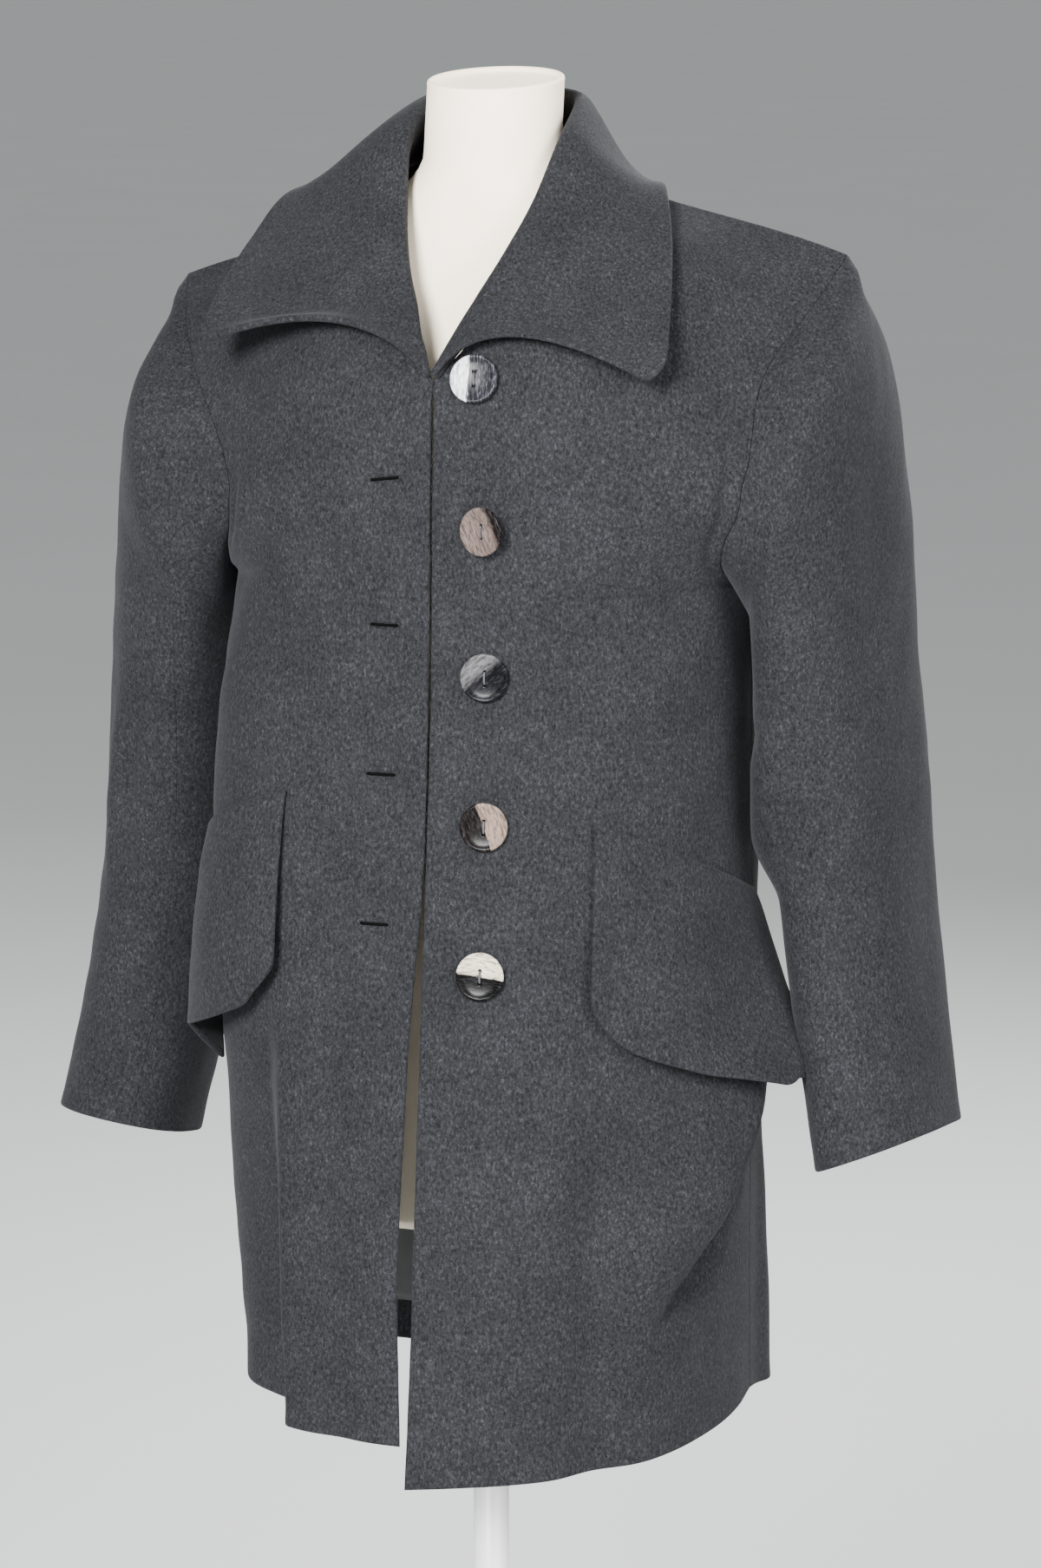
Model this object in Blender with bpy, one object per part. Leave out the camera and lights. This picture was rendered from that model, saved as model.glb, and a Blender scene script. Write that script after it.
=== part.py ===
"""Wool coat hanging open on a limbless dress form with a pole and a round base.

Metres, +Z up, the front faces -Y and the wearer's left is +X. The origin is the centre of the
underside of the base. Rows run upward in "rise": 0 is the hem, 1 the underarm, 2 the shoulder seam.
"""
import math
from collections import namedtuple

import bmesh
import bpy
import numpy as np
from mathutils import Matrix, Vector

PART_NAME = "wool_coat_on_dress_form"

# Walls and gaps
CLOTH_WALL = 0.0024
COLLAR_WALL = 0.0030
FLAP_WALL = 0.0030
LINING_WALL = 0.0010
SEAM_GAP = 0.0003

# Rows and columns of the pieces
LOW_ROWS = 15
HIGH_ROWS = 10
FRONT_COLUMNS = 12
NECK_COLUMNS = 3
SLEEVE_ROWS = 18
COLLAR_COLUMNS = 14
STAND_ROWS = 3
FALL_ROWS = 6
FLAP_ROWS = 5
LINING_COLUMNS = 8
LINING_ROWS = 7

# Heights of the hem
HEM_SIDE_Z = 0.600
HEM_BACK_Z = 0.578
UNDERARM_Z = 1.165

# The form carries the coat: its shoulder rings are raised by this much until they meet the cloth.
SHOULDER_LIFT = 0.0060

# Buttons
BUTTON_DIAMETER = 0.034
BUTTON_THICKNESS = 0.0042
BUTTON_SPACING = 0.1002
BUTTON_LOWEST_Z = 0.912
BUTTON_FROM_EDGE = (0.041, 0.040, 0.038, 0.037, 0.027)
BUTTON_LEANING = "button_2"
BUTTON_LEAN = math.radians(22.0)
BUTTON_HOLE_DIAMETER = 0.0030
BUTTON_HOLE_SPACING = 0.0080
BUTTON_SIDES = 28

# Dress form and stand
FORM_BOTTOM_Z = 0.725
NECK_TOP_Z = 1.502
NECK_TILT = math.radians(8.0)
FORM_SIDES = 28
POLE_DIAMETER = 0.025
BASE_DIAMETER = 0.340
BASE_THICKNESS = 0.009
ROUND_SIDES = 40

# Body of the coat, a row per height. x and y of the front edge, the side seam and the middle back.
Body = namedtuple("Body", "rise edge_x front_y side_x side_y back_y front_reach side_reach")
BODY_LEFT = (
    Body(0.00, -0.0030, -0.178, 0.183, 0.020, 0.155, 0.62, 0.60),
    Body(0.20, 0.0002, -0.172, 0.182, 0.020, 0.151, 0.62, 0.60),
    Body(0.45, 0.0012, -0.159, 0.183, 0.020, 0.143, 0.64, 0.60),
    Body(0.70, 0.0012, -0.142, 0.182, 0.020, 0.133, 0.66, 0.58),
    Body(0.85, 0.0012, -0.133, 0.181, 0.020, 0.131, 0.66, 0.56),
    Body(1.00, 0.0012, -0.128, 0.183, 0.020, 0.134, 0.62, 0.56),
)
BODY_RIGHT = (
    Body(0.00, -0.0080, -0.176, 0.174, 0.020, 0.155, 0.72, 0.62),
    Body(0.20, -0.0115, -0.170, 0.179, 0.020, 0.151, 0.72, 0.64),
    Body(0.45, -0.0080, -0.158, 0.185, 0.020, 0.143, 0.76, 0.70),
    Body(0.70, -0.0014, -0.142, 0.189, 0.020, 0.133, 0.83, 0.78),
    Body(0.85, -0.0012, -0.133, 0.188, 0.020, 0.131, 0.80, 0.72),
    Body(1.00, -0.0012, -0.128, 0.183, 0.020, 0.134, 0.62, 0.56),
)

# Above the underarm: the front edge and the neckline, and how a front row leaves and arrives.
Upper = namedtuple("Upper", "rise x y z out_y out_z out_reach in_x in_y in_z in_reach")
UPPER_FRONT = (
    Upper(1.00, 0.0012, -0.1280, 1.165, 0.00, 0.00, 0.113, 0.00, 1.00, 0.00, 0.083),
    Upper(1.25, 0.0012, -0.1265, 1.240, -0.02, 0.00, 0.085, 0.45, 0.88, -0.05, 0.045),
    Upper(1.50, 0.0012, -0.1230, 1.305, -0.04, -0.02, 0.075, 0.78, 0.60, -0.15, 0.045),
    Upper(1.60, 0.0180, -0.1130, 1.328, -0.12, -0.06, 0.065, 0.82, 0.52, -0.20, 0.050),
    Upper(1.70, 0.0360, -0.0980, 1.350, -0.20, -0.12, 0.060, 0.86, 0.44, -0.25, 0.055),
    Upper(1.80, 0.0560, -0.0720, 1.377, -0.25, -0.18, 0.058, 0.90, 0.34, -0.28, 0.058),
    Upper(1.90, 0.0710, -0.0320, 1.410, -0.12, -0.22, 0.058, 0.92, 0.20, -0.30, 0.058),
    Upper(2.00, 0.0760, 0.0200, 1.438, 0.10, -0.40, 0.052, 0.94, 0.00, -0.36, 0.060),
)

# The armhole, front half and back half.
Armhole = namedtuple("Armhole", "rise x y z")
ARMHOLE_FRONT = (
    Armhole(1.0, 0.183, 0.020, 1.165),
    Armhole(1.1, 0.181, -0.018, 1.170),
    Armhole(1.2, 0.174, -0.050, 1.186),
    Armhole(1.3, 0.166, -0.070, 1.208),
    Armhole(1.4, 0.164, -0.077, 1.232),
    Armhole(1.5, 0.170, -0.073, 1.257),
    Armhole(1.6, 0.182, -0.063, 1.282),
    Armhole(1.7, 0.198, -0.047, 1.307),
    Armhole(1.8, 0.215, -0.025, 1.333),
    Armhole(1.9, 0.231, 0.004, 1.361),
    Armhole(2.0, 0.242, 0.036, 1.388),
)
ARMHOLE_BACK = (
    Armhole(1.0, 0.183, 0.020, 1.165),
    Armhole(1.1, 0.182, 0.058, 1.170),
    Armhole(1.2, 0.180, 0.088, 1.188),
    Armhole(1.3, 0.179, 0.107, 1.212),
    Armhole(1.4, 0.181, 0.116, 1.238),
    Armhole(1.5, 0.187, 0.118, 1.264),
    Armhole(1.6, 0.196, 0.114, 1.290),
    Armhole(1.7, 0.207, 0.104, 1.316),
    Armhole(1.8, 0.220, 0.087, 1.342),
    Armhole(1.9, 0.233, 0.063, 1.368),
    Armhole(2.0, 0.242, 0.036, 1.388),
)

# Middle back above the underarm, and how a back row leaves the armhole.
Spine = namedtuple("Spine", "rise y z out_x out_y out_z out_reach in_reach")
SPINE = (
    Spine(1.00, 0.134, 1.165, 0.00, 1.00, 0.00, 0.072, 0.105),
    Spine(1.25, 0.137, 1.240, -0.45, 0.89, 0.00, 0.050, 0.088),
    Spine(1.50, 0.133, 1.310, -0.85, 0.52, 0.08, 0.050, 0.075),
    Spine(1.75, 0.119, 1.380, -0.93, 0.35, 0.20, 0.055, 0.075),
    Spine(2.00, 0.084, 1.450, -0.94, 0.10, 0.34, 0.060, 0.075),
)
NECK_BACK = ((0.0, 0.076, 0.020, 1.438), (0.4, 0.062, 0.055, 1.442), (1.0, 0.0, 0.084, 1.450))

# One side of the coat: height of the hem at the front edge, how far the hem sags toward the side,
# how far the shoulder hangs lower and in, and how far the chest drapes out over the front of the
# armhole and back.
Side = namedtuple("Side", "sign body hem_front_z hem_sag shoulder_drop shoulder_in armhole_out armhole_back")
LEFT = Side(1.0, BODY_LEFT, 0.5635, 0.013, 0.0000, 0.000, 0.033, 0.010)
RIGHT = Side(-1.0, BODY_RIGHT, 0.5930, 0.000, 0.0226, 0.007, 0.000, 0.000)

# Folds of the skirt. A pleat drops behind its line, a lap also stands up before it. "across" is the column.
Fold = namedtuple("Fold", "kind low_across high_across low_rise high_rise depth width reach")
FOLDS_RIGHT = (
    Fold("pleat", 0.29, 0.27, -0.40, 0.62, 0.052, 0.075, 0.62),
    Fold("dip", 0.14, 0.14, -0.20, 0.80, 0.004, 0.060, 0.00),
)
FOLDS_LEFT = (
    Fold("dip", 0.46, 0.40, -0.30, 0.72, 0.010, 0.080, 0.00),
    Fold("lap", 0.55, 1.14, 0.15, 0.60, 0.008, 0.130, 0.26),
)
FOLDS_BACK = (
    Fold("dip", 0.34, 0.40, -0.30, 0.75, 0.012, 0.060, 0.00),
    Fold("dip", 0.66, 0.60, -0.30, 0.75, 0.012, 0.060, 0.00),
    Fold("ridge", 0.09, 0.10, -0.40, 0.62, 0.010, 0.050, 0.00),
    Fold("ridge", 0.82, 0.80, -0.30, 0.60, 0.008, 0.060, 0.00),
)

# Sleeve rings below the armhole: inner and outer point, front and back y, all for the left side.
Ring = namedtuple("Ring", "inner_x inner_z outer_x outer_z middle_y half_depth turn square tilt",
                  defaults=(0.0,))
SLEEVE_LEFT = (
    Ring(0.1905, 1.132, 0.2620, 1.335, 0.026, 0.096, 0.00, 0.92),
    Ring(0.1915, 1.070, 0.2730, 1.250, 0.036, 0.088, 0.06, 0.90),
    Ring(0.1920, 0.985, 0.2780, 1.105, 0.044, 0.081, 0.16, 0.88),
    Ring(0.2130, 0.940, 0.2830, 1.035, 0.046, 0.077, 0.18, 0.88),
    Ring(0.2215, 0.870, 0.2910, 0.935, 0.048, 0.072, 0.20, 0.88),
    Ring(0.2385, 0.759, 0.3110, 0.789, 0.044, 0.065, 0.22, 0.90),
)
SLEEVE_RIGHT = (
    Ring(0.1905, 1.122, 0.2500, 1.313, 0.026, 0.096, 0.00, 0.92),
    Ring(0.1935, 1.060, 0.2750, 1.225, 0.040, 0.087, 0.04, 0.90),
    Ring(0.2000, 0.980, 0.2890, 1.075, 0.050, 0.080, 0.08, 0.88),
    Ring(0.2150, 0.870, 0.3030, 0.930, 0.052, 0.073, 0.10, 0.88),
    Ring(0.2430, 0.749, 0.3330, 0.764, 0.046, 0.065, 0.10, 0.80, 0.17),
)
SLEEVE_SEAM_FRONT = 4
SLEEVE_SEAM_BACK = 14

# Collar, a row per station from the front end to the middle back: seam, roll line, outer edge,
# how far the fall swells out at the roll and how high it arches along the front end.
Collar = namedtuple("Collar", "seam_x seam_y seam_z roll_x roll_y roll_z edge_x edge_y edge_z swell arch")
COLLAR_LEFT = (
    Collar(0.0045, -0.1225, 1.3105, 0.0050, -0.1280, 1.315, 0.1480, -0.1130, 1.310, 0.030, 0.038),
    Collar(0.0330, -0.1020, 1.3512, 0.0220, -0.0990, 1.357, 0.1560, -0.1020, 1.325, 0.014, 0.012),
    Collar(0.0560, -0.0740, 1.3800, 0.0350, -0.0760, 1.386, 0.1520, -0.0800, 1.351, 0.014, 0.006),
    Collar(0.0700, -0.0330, 1.4138, 0.0470, -0.0460, 1.422, 0.1400, -0.0360, 1.391, 0.013, 0.005),
    Collar(0.0740, 0.0200, 1.4402, 0.0560, -0.0060, 1.470, 0.1150, 0.0280, 1.430, 0.008, 0.000),
    Collar(0.0610, 0.0560, 1.447, 0.0500, 0.0440, 1.490, 0.0860, 0.1000, 1.416, 0.010, 0.000),
    Collar(0.0000, 0.0850, 1.455, 0.0000, 0.0700, 1.495, 0.0000, 0.1400, 1.405, 0.011, 0.000),
)
COLLAR_RIGHT = (
    Collar(0.0045, -0.1225, 1.3105, 0.0050, -0.1280, 1.315, 0.1700, -0.1060, 1.328, 0.030, 0.034),
    Collar(0.0330, -0.1020, 1.3512, 0.0220, -0.0990, 1.357, 0.1730, -0.0880, 1.343, 0.013, 0.008),
    Collar(0.0560, -0.0740, 1.3800, 0.0350, -0.0760, 1.386, 0.1720, -0.0610, 1.362, 0.015, 0.008),
    Collar(0.0700, -0.0330, 1.4138, 0.0470, -0.0460, 1.422, 0.1660, -0.0180, 1.392, 0.017, 0.013),
    Collar(0.0740, 0.0200, 1.4402, 0.0560, -0.0060, 1.470, 0.1480, 0.0300, 1.422, 0.018, 0.013),
    Collar(0.0610, 0.0560, 1.447, 0.0500, 0.0440, 1.490, 0.1060, 0.1000, 1.414, 0.016, 0.008),
    Collar(0.0000, 0.0850, 1.455, 0.0000, 0.0700, 1.495, 0.0000, 0.1400, 1.405, 0.011, 0.000),
)

# Pocket flaps, as the part of the front and back that they cover.
Flap = namedtuple("Flap", "front_across back_across front_top back_top drop lift_front lift_back")
FLAP_LEFT = Flap(0.37, 0.98, 1.016, 0.955, 0.143, 0.006, 0.029)
FLAP_RIGHT = Flap(0.27, 0.82, 1.030, 0.985, 0.140, 0.012, 0.024)

# Dress form sections from the bottom up.
Section = namedtuple("Section", "z half_width front_y back_y square")
FORM_SECTIONS = (
    Section(0.725, 0.150, -0.100, 0.105, 0.90),
    Section(0.733, 0.158, -0.108, 0.112, 0.90),
    Section(0.800, 0.164, -0.114, 0.120, 0.90),
    Section(0.880, 0.162, -0.112, 0.118, 0.92),
    Section(0.960, 0.144, -0.102, 0.100, 0.95),
    Section(1.040, 0.128, -0.095, 0.086, 0.98),
    Section(1.110, 0.133, -0.100, 0.092, 0.98),
    Section(1.180, 0.146, -0.110, 0.102, 0.96),
    Section(1.240, 0.154, -0.110, 0.106, 0.96),
    Section(1.300, 0.160, -0.093, 0.102, 0.96),
    Section(1.340, 0.158, -0.070, 0.090, 0.97),
    Section(1.362, 0.147, -0.055, 0.080, 0.98),
    Section(1.378, 0.129, -0.047, 0.073, 1.00),
    Section(1.391, 0.111, -0.042, 0.068, 1.00),
    Section(1.402, 0.095, -0.040, 0.064, 1.00),
    Section(1.412, 0.080, -0.039, 0.061, 1.00),
    Section(1.421, 0.068, -0.039, 0.059, 1.00),
    Section(1.433, 0.056, -0.038, 0.057, 1.00),
    Section(1.450, 0.049, -0.037, 0.055, 1.00),
    Section(1.475, 0.047, -0.037, 0.053, 1.00),
)

LOOKS = {
    "wool": (0.082, 0.085, 0.092, 0.95),
    "lining": (0.010, 0.010, 0.011, 0.60),
    "shell": (0.060, 0.055, 0.052, 0.20),
    "form_cover": (0.860, 0.820, 0.750, 0.80),
    "stand": (0.640, 0.650, 0.630, 0.45),
}


def track(keys, values, where):
    """Smooth value at a place along a table, without overshooting its rows."""
    keys = np.asarray(keys, float)
    values = np.asarray(values, float)
    where = np.clip(np.asarray(where, float), keys[0], keys[-1])
    steps = np.diff(keys)
    slopes = np.diff(values) / steps
    tangents = np.zeros(len(keys))
    tangents[0] = slopes[0]
    tangents[-1] = slopes[-1]
    for i in range(1, len(keys) - 1):
        if slopes[i - 1] * slopes[i] > 0:
            tangents[i] = 2.0 * slopes[i - 1] * slopes[i] / (slopes[i - 1] + slopes[i])
    index = np.clip(np.searchsorted(keys, where, side="right") - 1, 0, len(keys) - 2)
    t = (where - keys[index]) / steps[index]
    rise = t * t * (3.0 - 2.0 * t)
    start = t * (1.0 - t) ** 2 * steps[index] * tangents[index]
    end = t * t * (t - 1.0) * steps[index] * tangents[index + 1]
    return values[index] * (1.0 - rise) + values[index + 1] * rise + start + end


def column(table, name, where):
    """Value of one named column of a table with a rise column."""
    return track([row.rise for row in table], [getattr(row, name) for row in table], where)


def ease(value):
    """Smooth step from 0 to 1."""
    value = np.clip(value, 0.0, 1.0)
    return value * value * (3.0 - 2.0 * value)


def unit(vectors):
    """Vectors of length one along the last axis."""
    length = np.linalg.norm(vectors, axis=-1, keepdims=True)
    return vectors / np.maximum(length, 1e-9)


def sweep(start, start_hand, end_hand, end, places):
    """Points on the cubic curve between two ends and their two handles."""
    t = np.asarray(places, float)[:, None]
    s = 1.0 - t
    return s ** 3 * start + 3 * s * s * t * start_hand + 3 * s * t * t * end_hand + t ** 3 * end


def row_rises():
    """Rise of every row of the body, hem to shoulder."""
    low = np.linspace(0.0, 1.0, LOW_ROWS + 1)
    high = np.linspace(1.0, 2.0, HIGH_ROWS + 1)
    return np.concatenate([low, high[1:]])


def shoulder_shift(side, points, rise):
    """Lower and narrow the upper rows toward the shoulder seam of the side that hangs lower."""
    amount = float(ease((rise - 1.1) / 0.9))
    shifted = points.copy()
    outward = np.clip((np.abs(points[:, 0]) - 0.06) / 0.12, 0.0, 1.0)
    shifted[:, 2] -= side.shoulder_drop * amount * ease(outward)
    shifted[:, 0] -= side.shoulder_in * amount * ease(outward)
    return shifted


def armhole_drape(side, rise):
    """How far the front of the armhole is carried out by the cloth of the chest."""
    amount = float(ease((rise - 1.14) / 0.26) * (1.0 - ease((rise - 1.46) / 0.34)))
    return np.array([side.armhole_out, side.armhole_back, 0.0]) * amount


def front_row(side, rise, places):
    """One row of a front, from its edge to the side seam or the armhole, as left-side points."""
    if rise <= 1.0:
        edge_z = side.hem_front_z + (UNDERARM_Z - side.hem_front_z) * rise
        seam_z = HEM_SIDE_Z + (UNDERARM_Z - HEM_SIDE_Z) * rise
        edge_x = side.sign * float(column(side.body, "edge_x", rise))
        front_y = float(column(side.body, "front_y", rise))
        side_x = float(column(side.body, "side_x", rise))
        side_y = float(column(side.body, "side_y", rise))
        reach = float(column(side.body, "front_reach", rise)) * side_x
        lead = float(column(side.body, "side_reach", rise)) * (side_y - front_y)
        start = np.array([edge_x, front_y, edge_z])
        end = np.array([side_x, side_y, seam_z])
        third = (seam_z - edge_z) / 3.0
        start_hand = start + np.array([reach, 0.0, third])
        end_hand = end - np.array([0.0, lead, third])
        row = sweep(start, start_hand, end_hand, end, places)
        row[:, 2] -= side.hem_sag * (1.0 - rise) ** 3 * 4.0 * places ** 2 * (1.0 - places)
        return row
    values = {name: float(column(UPPER_FRONT, name, rise)) for name in Upper._fields}
    start = np.array([values["x"], values["y"], values["z"]])
    end = np.array([float(column(ARMHOLE_FRONT, name, rise)) for name in "xyz"])
    end = end + armhole_drape(side, rise)
    out = unit(np.array([1.0, values["out_y"], values["out_z"]]))
    into = unit(np.array([values["in_x"], values["in_y"], values["in_z"]]))
    start_hand = start + out * values["out_reach"]
    end_hand = end - into * values["in_reach"]
    return shoulder_shift(side, sweep(start, start_hand, end_hand, end, places), rise)


def front_grid(side, columns=FRONT_COLUMNS, rises=None):
    """Points of a front without folds."""
    rises = row_rises() if rises is None else rises
    places = np.linspace(0.0, 1.0, columns + 1)
    rows = [front_row(side, float(rise), places) for rise in rises]
    grid = np.array(rows)
    grid[:, :, 0] *= side.sign
    return grid


def back_places(shoulder_columns, neck_columns):
    """Places along half a back row: shoulder columns, then neck columns."""
    shoulder = np.linspace(0.0, 0.68, shoulder_columns + 1)
    neck = np.linspace(0.68, 1.0, neck_columns + 1)
    return np.concatenate([shoulder, neck[1:]])


def half_back_grid(side, columns=FRONT_COLUMNS, neck_columns=NECK_COLUMNS, rises=None):
    """Points of half the back, from the side seam or armhole to the middle, without folds."""
    rises = row_rises() if rises is None else rises
    places = back_places(columns, neck_columns)
    rows = [half_back_row(side, float(rise), places, columns, neck_columns) for rise in rises]
    grid = np.array(rows)
    grid[:, :, 0] *= side.sign
    return grid


def half_back_row(side, rise, places, columns, neck_columns):
    """One row of half the back as left-side points."""
    if rise <= 1.0:
        seam_z = HEM_SIDE_Z + (UNDERARM_Z - HEM_SIDE_Z) * rise
        middle_z = HEM_BACK_Z + (UNDERARM_Z - HEM_BACK_Z) * rise
        side_x = float(column(side.body, "side_x", rise))
        side_y = float(column(side.body, "side_y", rise))
        back_y = float(column(side.body, "back_y", rise))
        third = (middle_z - seam_z) / 3.0
        start = np.array([side_x, side_y, seam_z])
        end = np.array([0.0, back_y, middle_z])
        start_hand = start + np.array([0.0, 0.62 * (back_y - side_y), third])
        end_hand = end + np.array([0.57 * side_x, 0.0, -third])
        return sweep(start, start_hand, end_hand, end, places)
    start = np.array([float(column(ARMHOLE_BACK, name, rise)) for name in "xyz"])
    end = np.array([0.0, float(column(SPINE, "y", rise)), float(column(SPINE, "z", rise))])
    out = unit(np.array([float(column(SPINE, name, rise)) for name in ("out_x", "out_y", "out_z")]))
    start_hand = start + out * float(column(SPINE, "out_reach", rise))
    end_hand = end + np.array([float(column(SPINE, "in_reach", rise)), 0.0, 0.0])
    row = sweep(start, start_hand, end_hand, end, places)
    if rise > 1.6:
        weight = float(ease((rise - 1.6) / 0.4))
        top = top_row(columns, neck_columns)
        start = np.array([float(column(ARMHOLE_BACK, name, 2.0)) for name in "xyz"])
        end = np.array([0.0, float(column(SPINE, "y", 2.0)), float(column(SPINE, "z", 2.0))])
        out = unit(np.array([float(column(SPINE, name, 2.0)) for name in ("out_x", "out_y", "out_z")]))
        start_hand = start + out * float(column(SPINE, "out_reach", 2.0))
        end_hand = end + np.array([float(column(SPINE, "in_reach", 2.0)), 0.0, 0.0])
        row = row + weight * (top - sweep(start, start_hand, end_hand, end, places))
    return shoulder_shift(side, row, rise)


def top_row(columns, neck_columns):
    """Shoulder seam from its tip to the neck, then the back neckline to the middle."""
    seam = front_row(LEFT, 2.0, np.linspace(0.0, 1.0, columns + 1))[::-1]
    steps = np.linspace(0.0, 1.0, neck_columns + 1)[1:]
    keys = [row[0] for row in NECK_BACK]
    neck = np.array([track(keys, [row[i] for row in NECK_BACK], steps) for i in (1, 2, 3)]).T
    return np.concatenate([seam, neck])


def surface_normals(grid, facing):
    """Outward normals of a grid of points. facing is 1 or -1 for the winding of its columns."""
    along = np.gradient(grid, axis=1)
    upward = np.gradient(grid, axis=0)
    return unit(np.cross(along, upward)) * facing


def fold_shift(folds, across, rises, normals, ends):
    """Movement of every point out of the plain form. A pleat goes straight back, the rest inward."""
    still = seam_fade(across, ends)
    straight = np.array([0.0, -1.0, 0.0])
    shift = np.zeros(normals.shape)
    for fold in folds:
        depth = fold_depth((fold,), across, rises) * still
        way = straight if fold.kind == "pleat" else normals
        shift += depth[:, :, None] * way
    return shift


def fold_depth(folds, across, rises):
    """How far the cloth stands out of its plain form at every row and column."""
    depth = np.zeros((len(rises), len(across)))
    rise = np.asarray(rises, float)[:, None]
    place = np.asarray(across, float)[None, :]
    for fold in folds:
        travel = np.clip((rise - fold.low_rise) / (fold.high_rise - fold.low_rise), 0.0, 1.0)
        line = fold.low_across + (fold.high_across - fold.low_across) * travel
        fade = 1.0 - ease((travel - 0.45) / 0.55)
        if fold.low_rise > 0.0:
            fade = fade * ease(travel / 0.35)
        offset = (place - line) / fold.width
        if fold.kind == "pleat":
            shape = -ease(offset) * (1.0 - ease((place - line - fold.width) / fold.reach))
        elif fold.kind == "lap":
            raised = np.exp(-(np.maximum(line - place, 0.0) / fold.reach) ** 2) * (1.0 - ease(offset))
            sunk = ease(offset) * (1.0 - ease((place - line - fold.width) / fold.reach))
            shape = raised - 0.6 * sunk
        elif fold.kind == "ridge":
            shape = np.exp(-offset ** 2)
        else:
            shape = -np.exp(-offset ** 2)
        depth += fold.depth * fade * shape
    return depth


def seam_fade(across, ends):
    """Zero at the seams and one between them."""
    fade = np.ones(len(across))
    if ends[0]:
        fade = fade * ease(np.asarray(across) / 0.08)
    if ends[1]:
        fade = fade * ease((1.0 - np.asarray(across)) / 0.08)
    return fade[None, :]


def body_grids(columns=FRONT_COLUMNS, neck_columns=NECK_COLUMNS, rises=None):
    """Outer points and normals of both fronts and the back, with shared normals at the seams."""
    rises = row_rises() if rises is None else rises
    low = int(np.count_nonzero(np.asarray(rises) <= 1.0 + 1e-9))
    across = np.linspace(0.0, 1.0, columns + 1)
    fronts = []
    for side, folds in ((LEFT, FOLDS_LEFT), (RIGHT, FOLDS_RIGHT)):
        grid = front_grid(side, columns, rises)
        normals = surface_normals(grid, side.sign)
        fronts.append(grid + fold_shift(folds, across, rises, normals, (False, True)))
    left_half = half_back_grid(LEFT, columns, neck_columns, rises)
    right_half = half_back_grid(RIGHT, columns, neck_columns, rises)
    back = np.concatenate([left_half, right_half[:, ::-1][:, 1:]], axis=1)
    back_across = np.linspace(0.0, 1.0, back.shape[1])
    normals = surface_normals(back, 1.0)
    back = back + fold_shift(FOLDS_BACK, back_across, rises, normals, (True, True))
    result = {}
    back_normals = surface_normals(back, 1.0)
    for name, side, grid in (("left", LEFT, fronts[0]), ("right", RIGHT, fronts[1])):
        normals = surface_normals(grid, side.sign)
        edge = 0 if name == "left" else -1
        shared = unit(normals[:low, -1] + back_normals[:low, edge])
        normals[:low, -1] = shared
        back_normals[:low, edge] = shared
        seam = back_normals[-1, :columns + 1] if name == "left" else back_normals[-1, ::-1][:columns + 1]
        shared = unit(normals[-1][::-1] + seam)
        normals[-1] = shared[::-1]
        if name == "left":
            back_normals[-1, :columns + 1] = shared
        else:
            back_normals[-1, -columns - 1:] = shared[::-1]
        result["front_" + name] = (grid, normals)
    result["back"] = (back, back_normals)
    return result


def sleeve_ring(ring, sides):
    """Points of one sleeve ring, from the inner side over the front, outer side and back."""
    inner = np.array([ring.inner_x, ring.middle_y, ring.inner_z])
    outer = np.array([ring.outer_x, ring.middle_y, ring.outer_z])
    middle = (inner + outer) / 2.0
    half = (outer - inner) / 2.0
    angles = np.linspace(0.0, 2.0 * math.pi, sides + 1)[:-1]
    across = -np.sign(np.cos(angles)) * np.abs(np.cos(angles)) ** ring.square
    forward = np.sign(np.sin(angles)) * np.abs(np.sin(angles)) ** ring.square
    points = middle + across[:, None] * half
    points[:, 1] -= forward * ring.half_depth
    points[:, 0] -= forward * ring.half_depth * math.sin(ring.turn)
    points[:, 2] += forward * ring.half_depth * math.sin(ring.tilt)
    return points


def sleeve_grid(side, armhole, rows=SLEEVE_ROWS):
    """Rings of a sleeve from the armhole to the cuff, for one side."""
    table = SLEEVE_LEFT if side is LEFT else SLEEVE_RIGHT
    sides = len(armhole)
    keys = [armhole * np.array([side.sign, 1.0, 1.0])]
    keys += [sleeve_ring(ring, sides) for ring in table]
    keys[0] = keys[0] + np.array([0.0006, 0.0, 0.0]) + unit(keys[1] - keys[0]) * SEAM_GAP
    lengths = [0.0]
    for before, after in zip(keys, keys[1:]):
        lengths.append(lengths[-1] + float(np.linalg.norm((after - before).mean(axis=0))))
    lengths[1] = max(lengths[1], 0.045)
    places = np.linspace(0.0, lengths[-1], rows + 1)
    stack = np.array(keys)
    grid = np.zeros((rows + 1, sides, 3))
    for i in range(sides):
        for axis in range(3):
            grid[:, i, axis] = track(lengths, stack[:, i, axis], places)
    grid[:, :, 0] *= side.sign
    return grid


def ring_normals(grid, facing):
    """Outward normals of closed rings."""
    around = np.roll(grid, -1, axis=1) - np.roll(grid, 1, axis=1)
    down = np.gradient(grid, axis=0)
    return unit(np.cross(around, down)) * facing


def collar_section(seam, roll, edge, swell, arch, stand_places, fall_places):
    """A collar section: up from the seam, over the roll line and down to the outer edge."""
    up = np.array([0.0, 0.0, 1.0])
    reach = np.array([edge[0] - roll[0], edge[1] - roll[1], 0.0])
    outward = unit(reach)
    drop = max(roll[2] - edge[2], 0.0)
    stand_hand = seam + (roll - seam) * 0.45
    top_hand = roll - outward * min(0.004, swell * 0.3) - up * 0.003
    stand = sweep(seam, stand_hand, top_hand, roll, stand_places)
    fall_hand = roll + outward * swell + up * (0.002 + arch)
    low_hand = edge - reach * 0.42 + up * (drop * 0.14 + arch * 0.8)
    fall = sweep(roll, fall_hand, low_hand, edge, fall_places)
    return np.concatenate([stand, fall[1:]])


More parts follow.
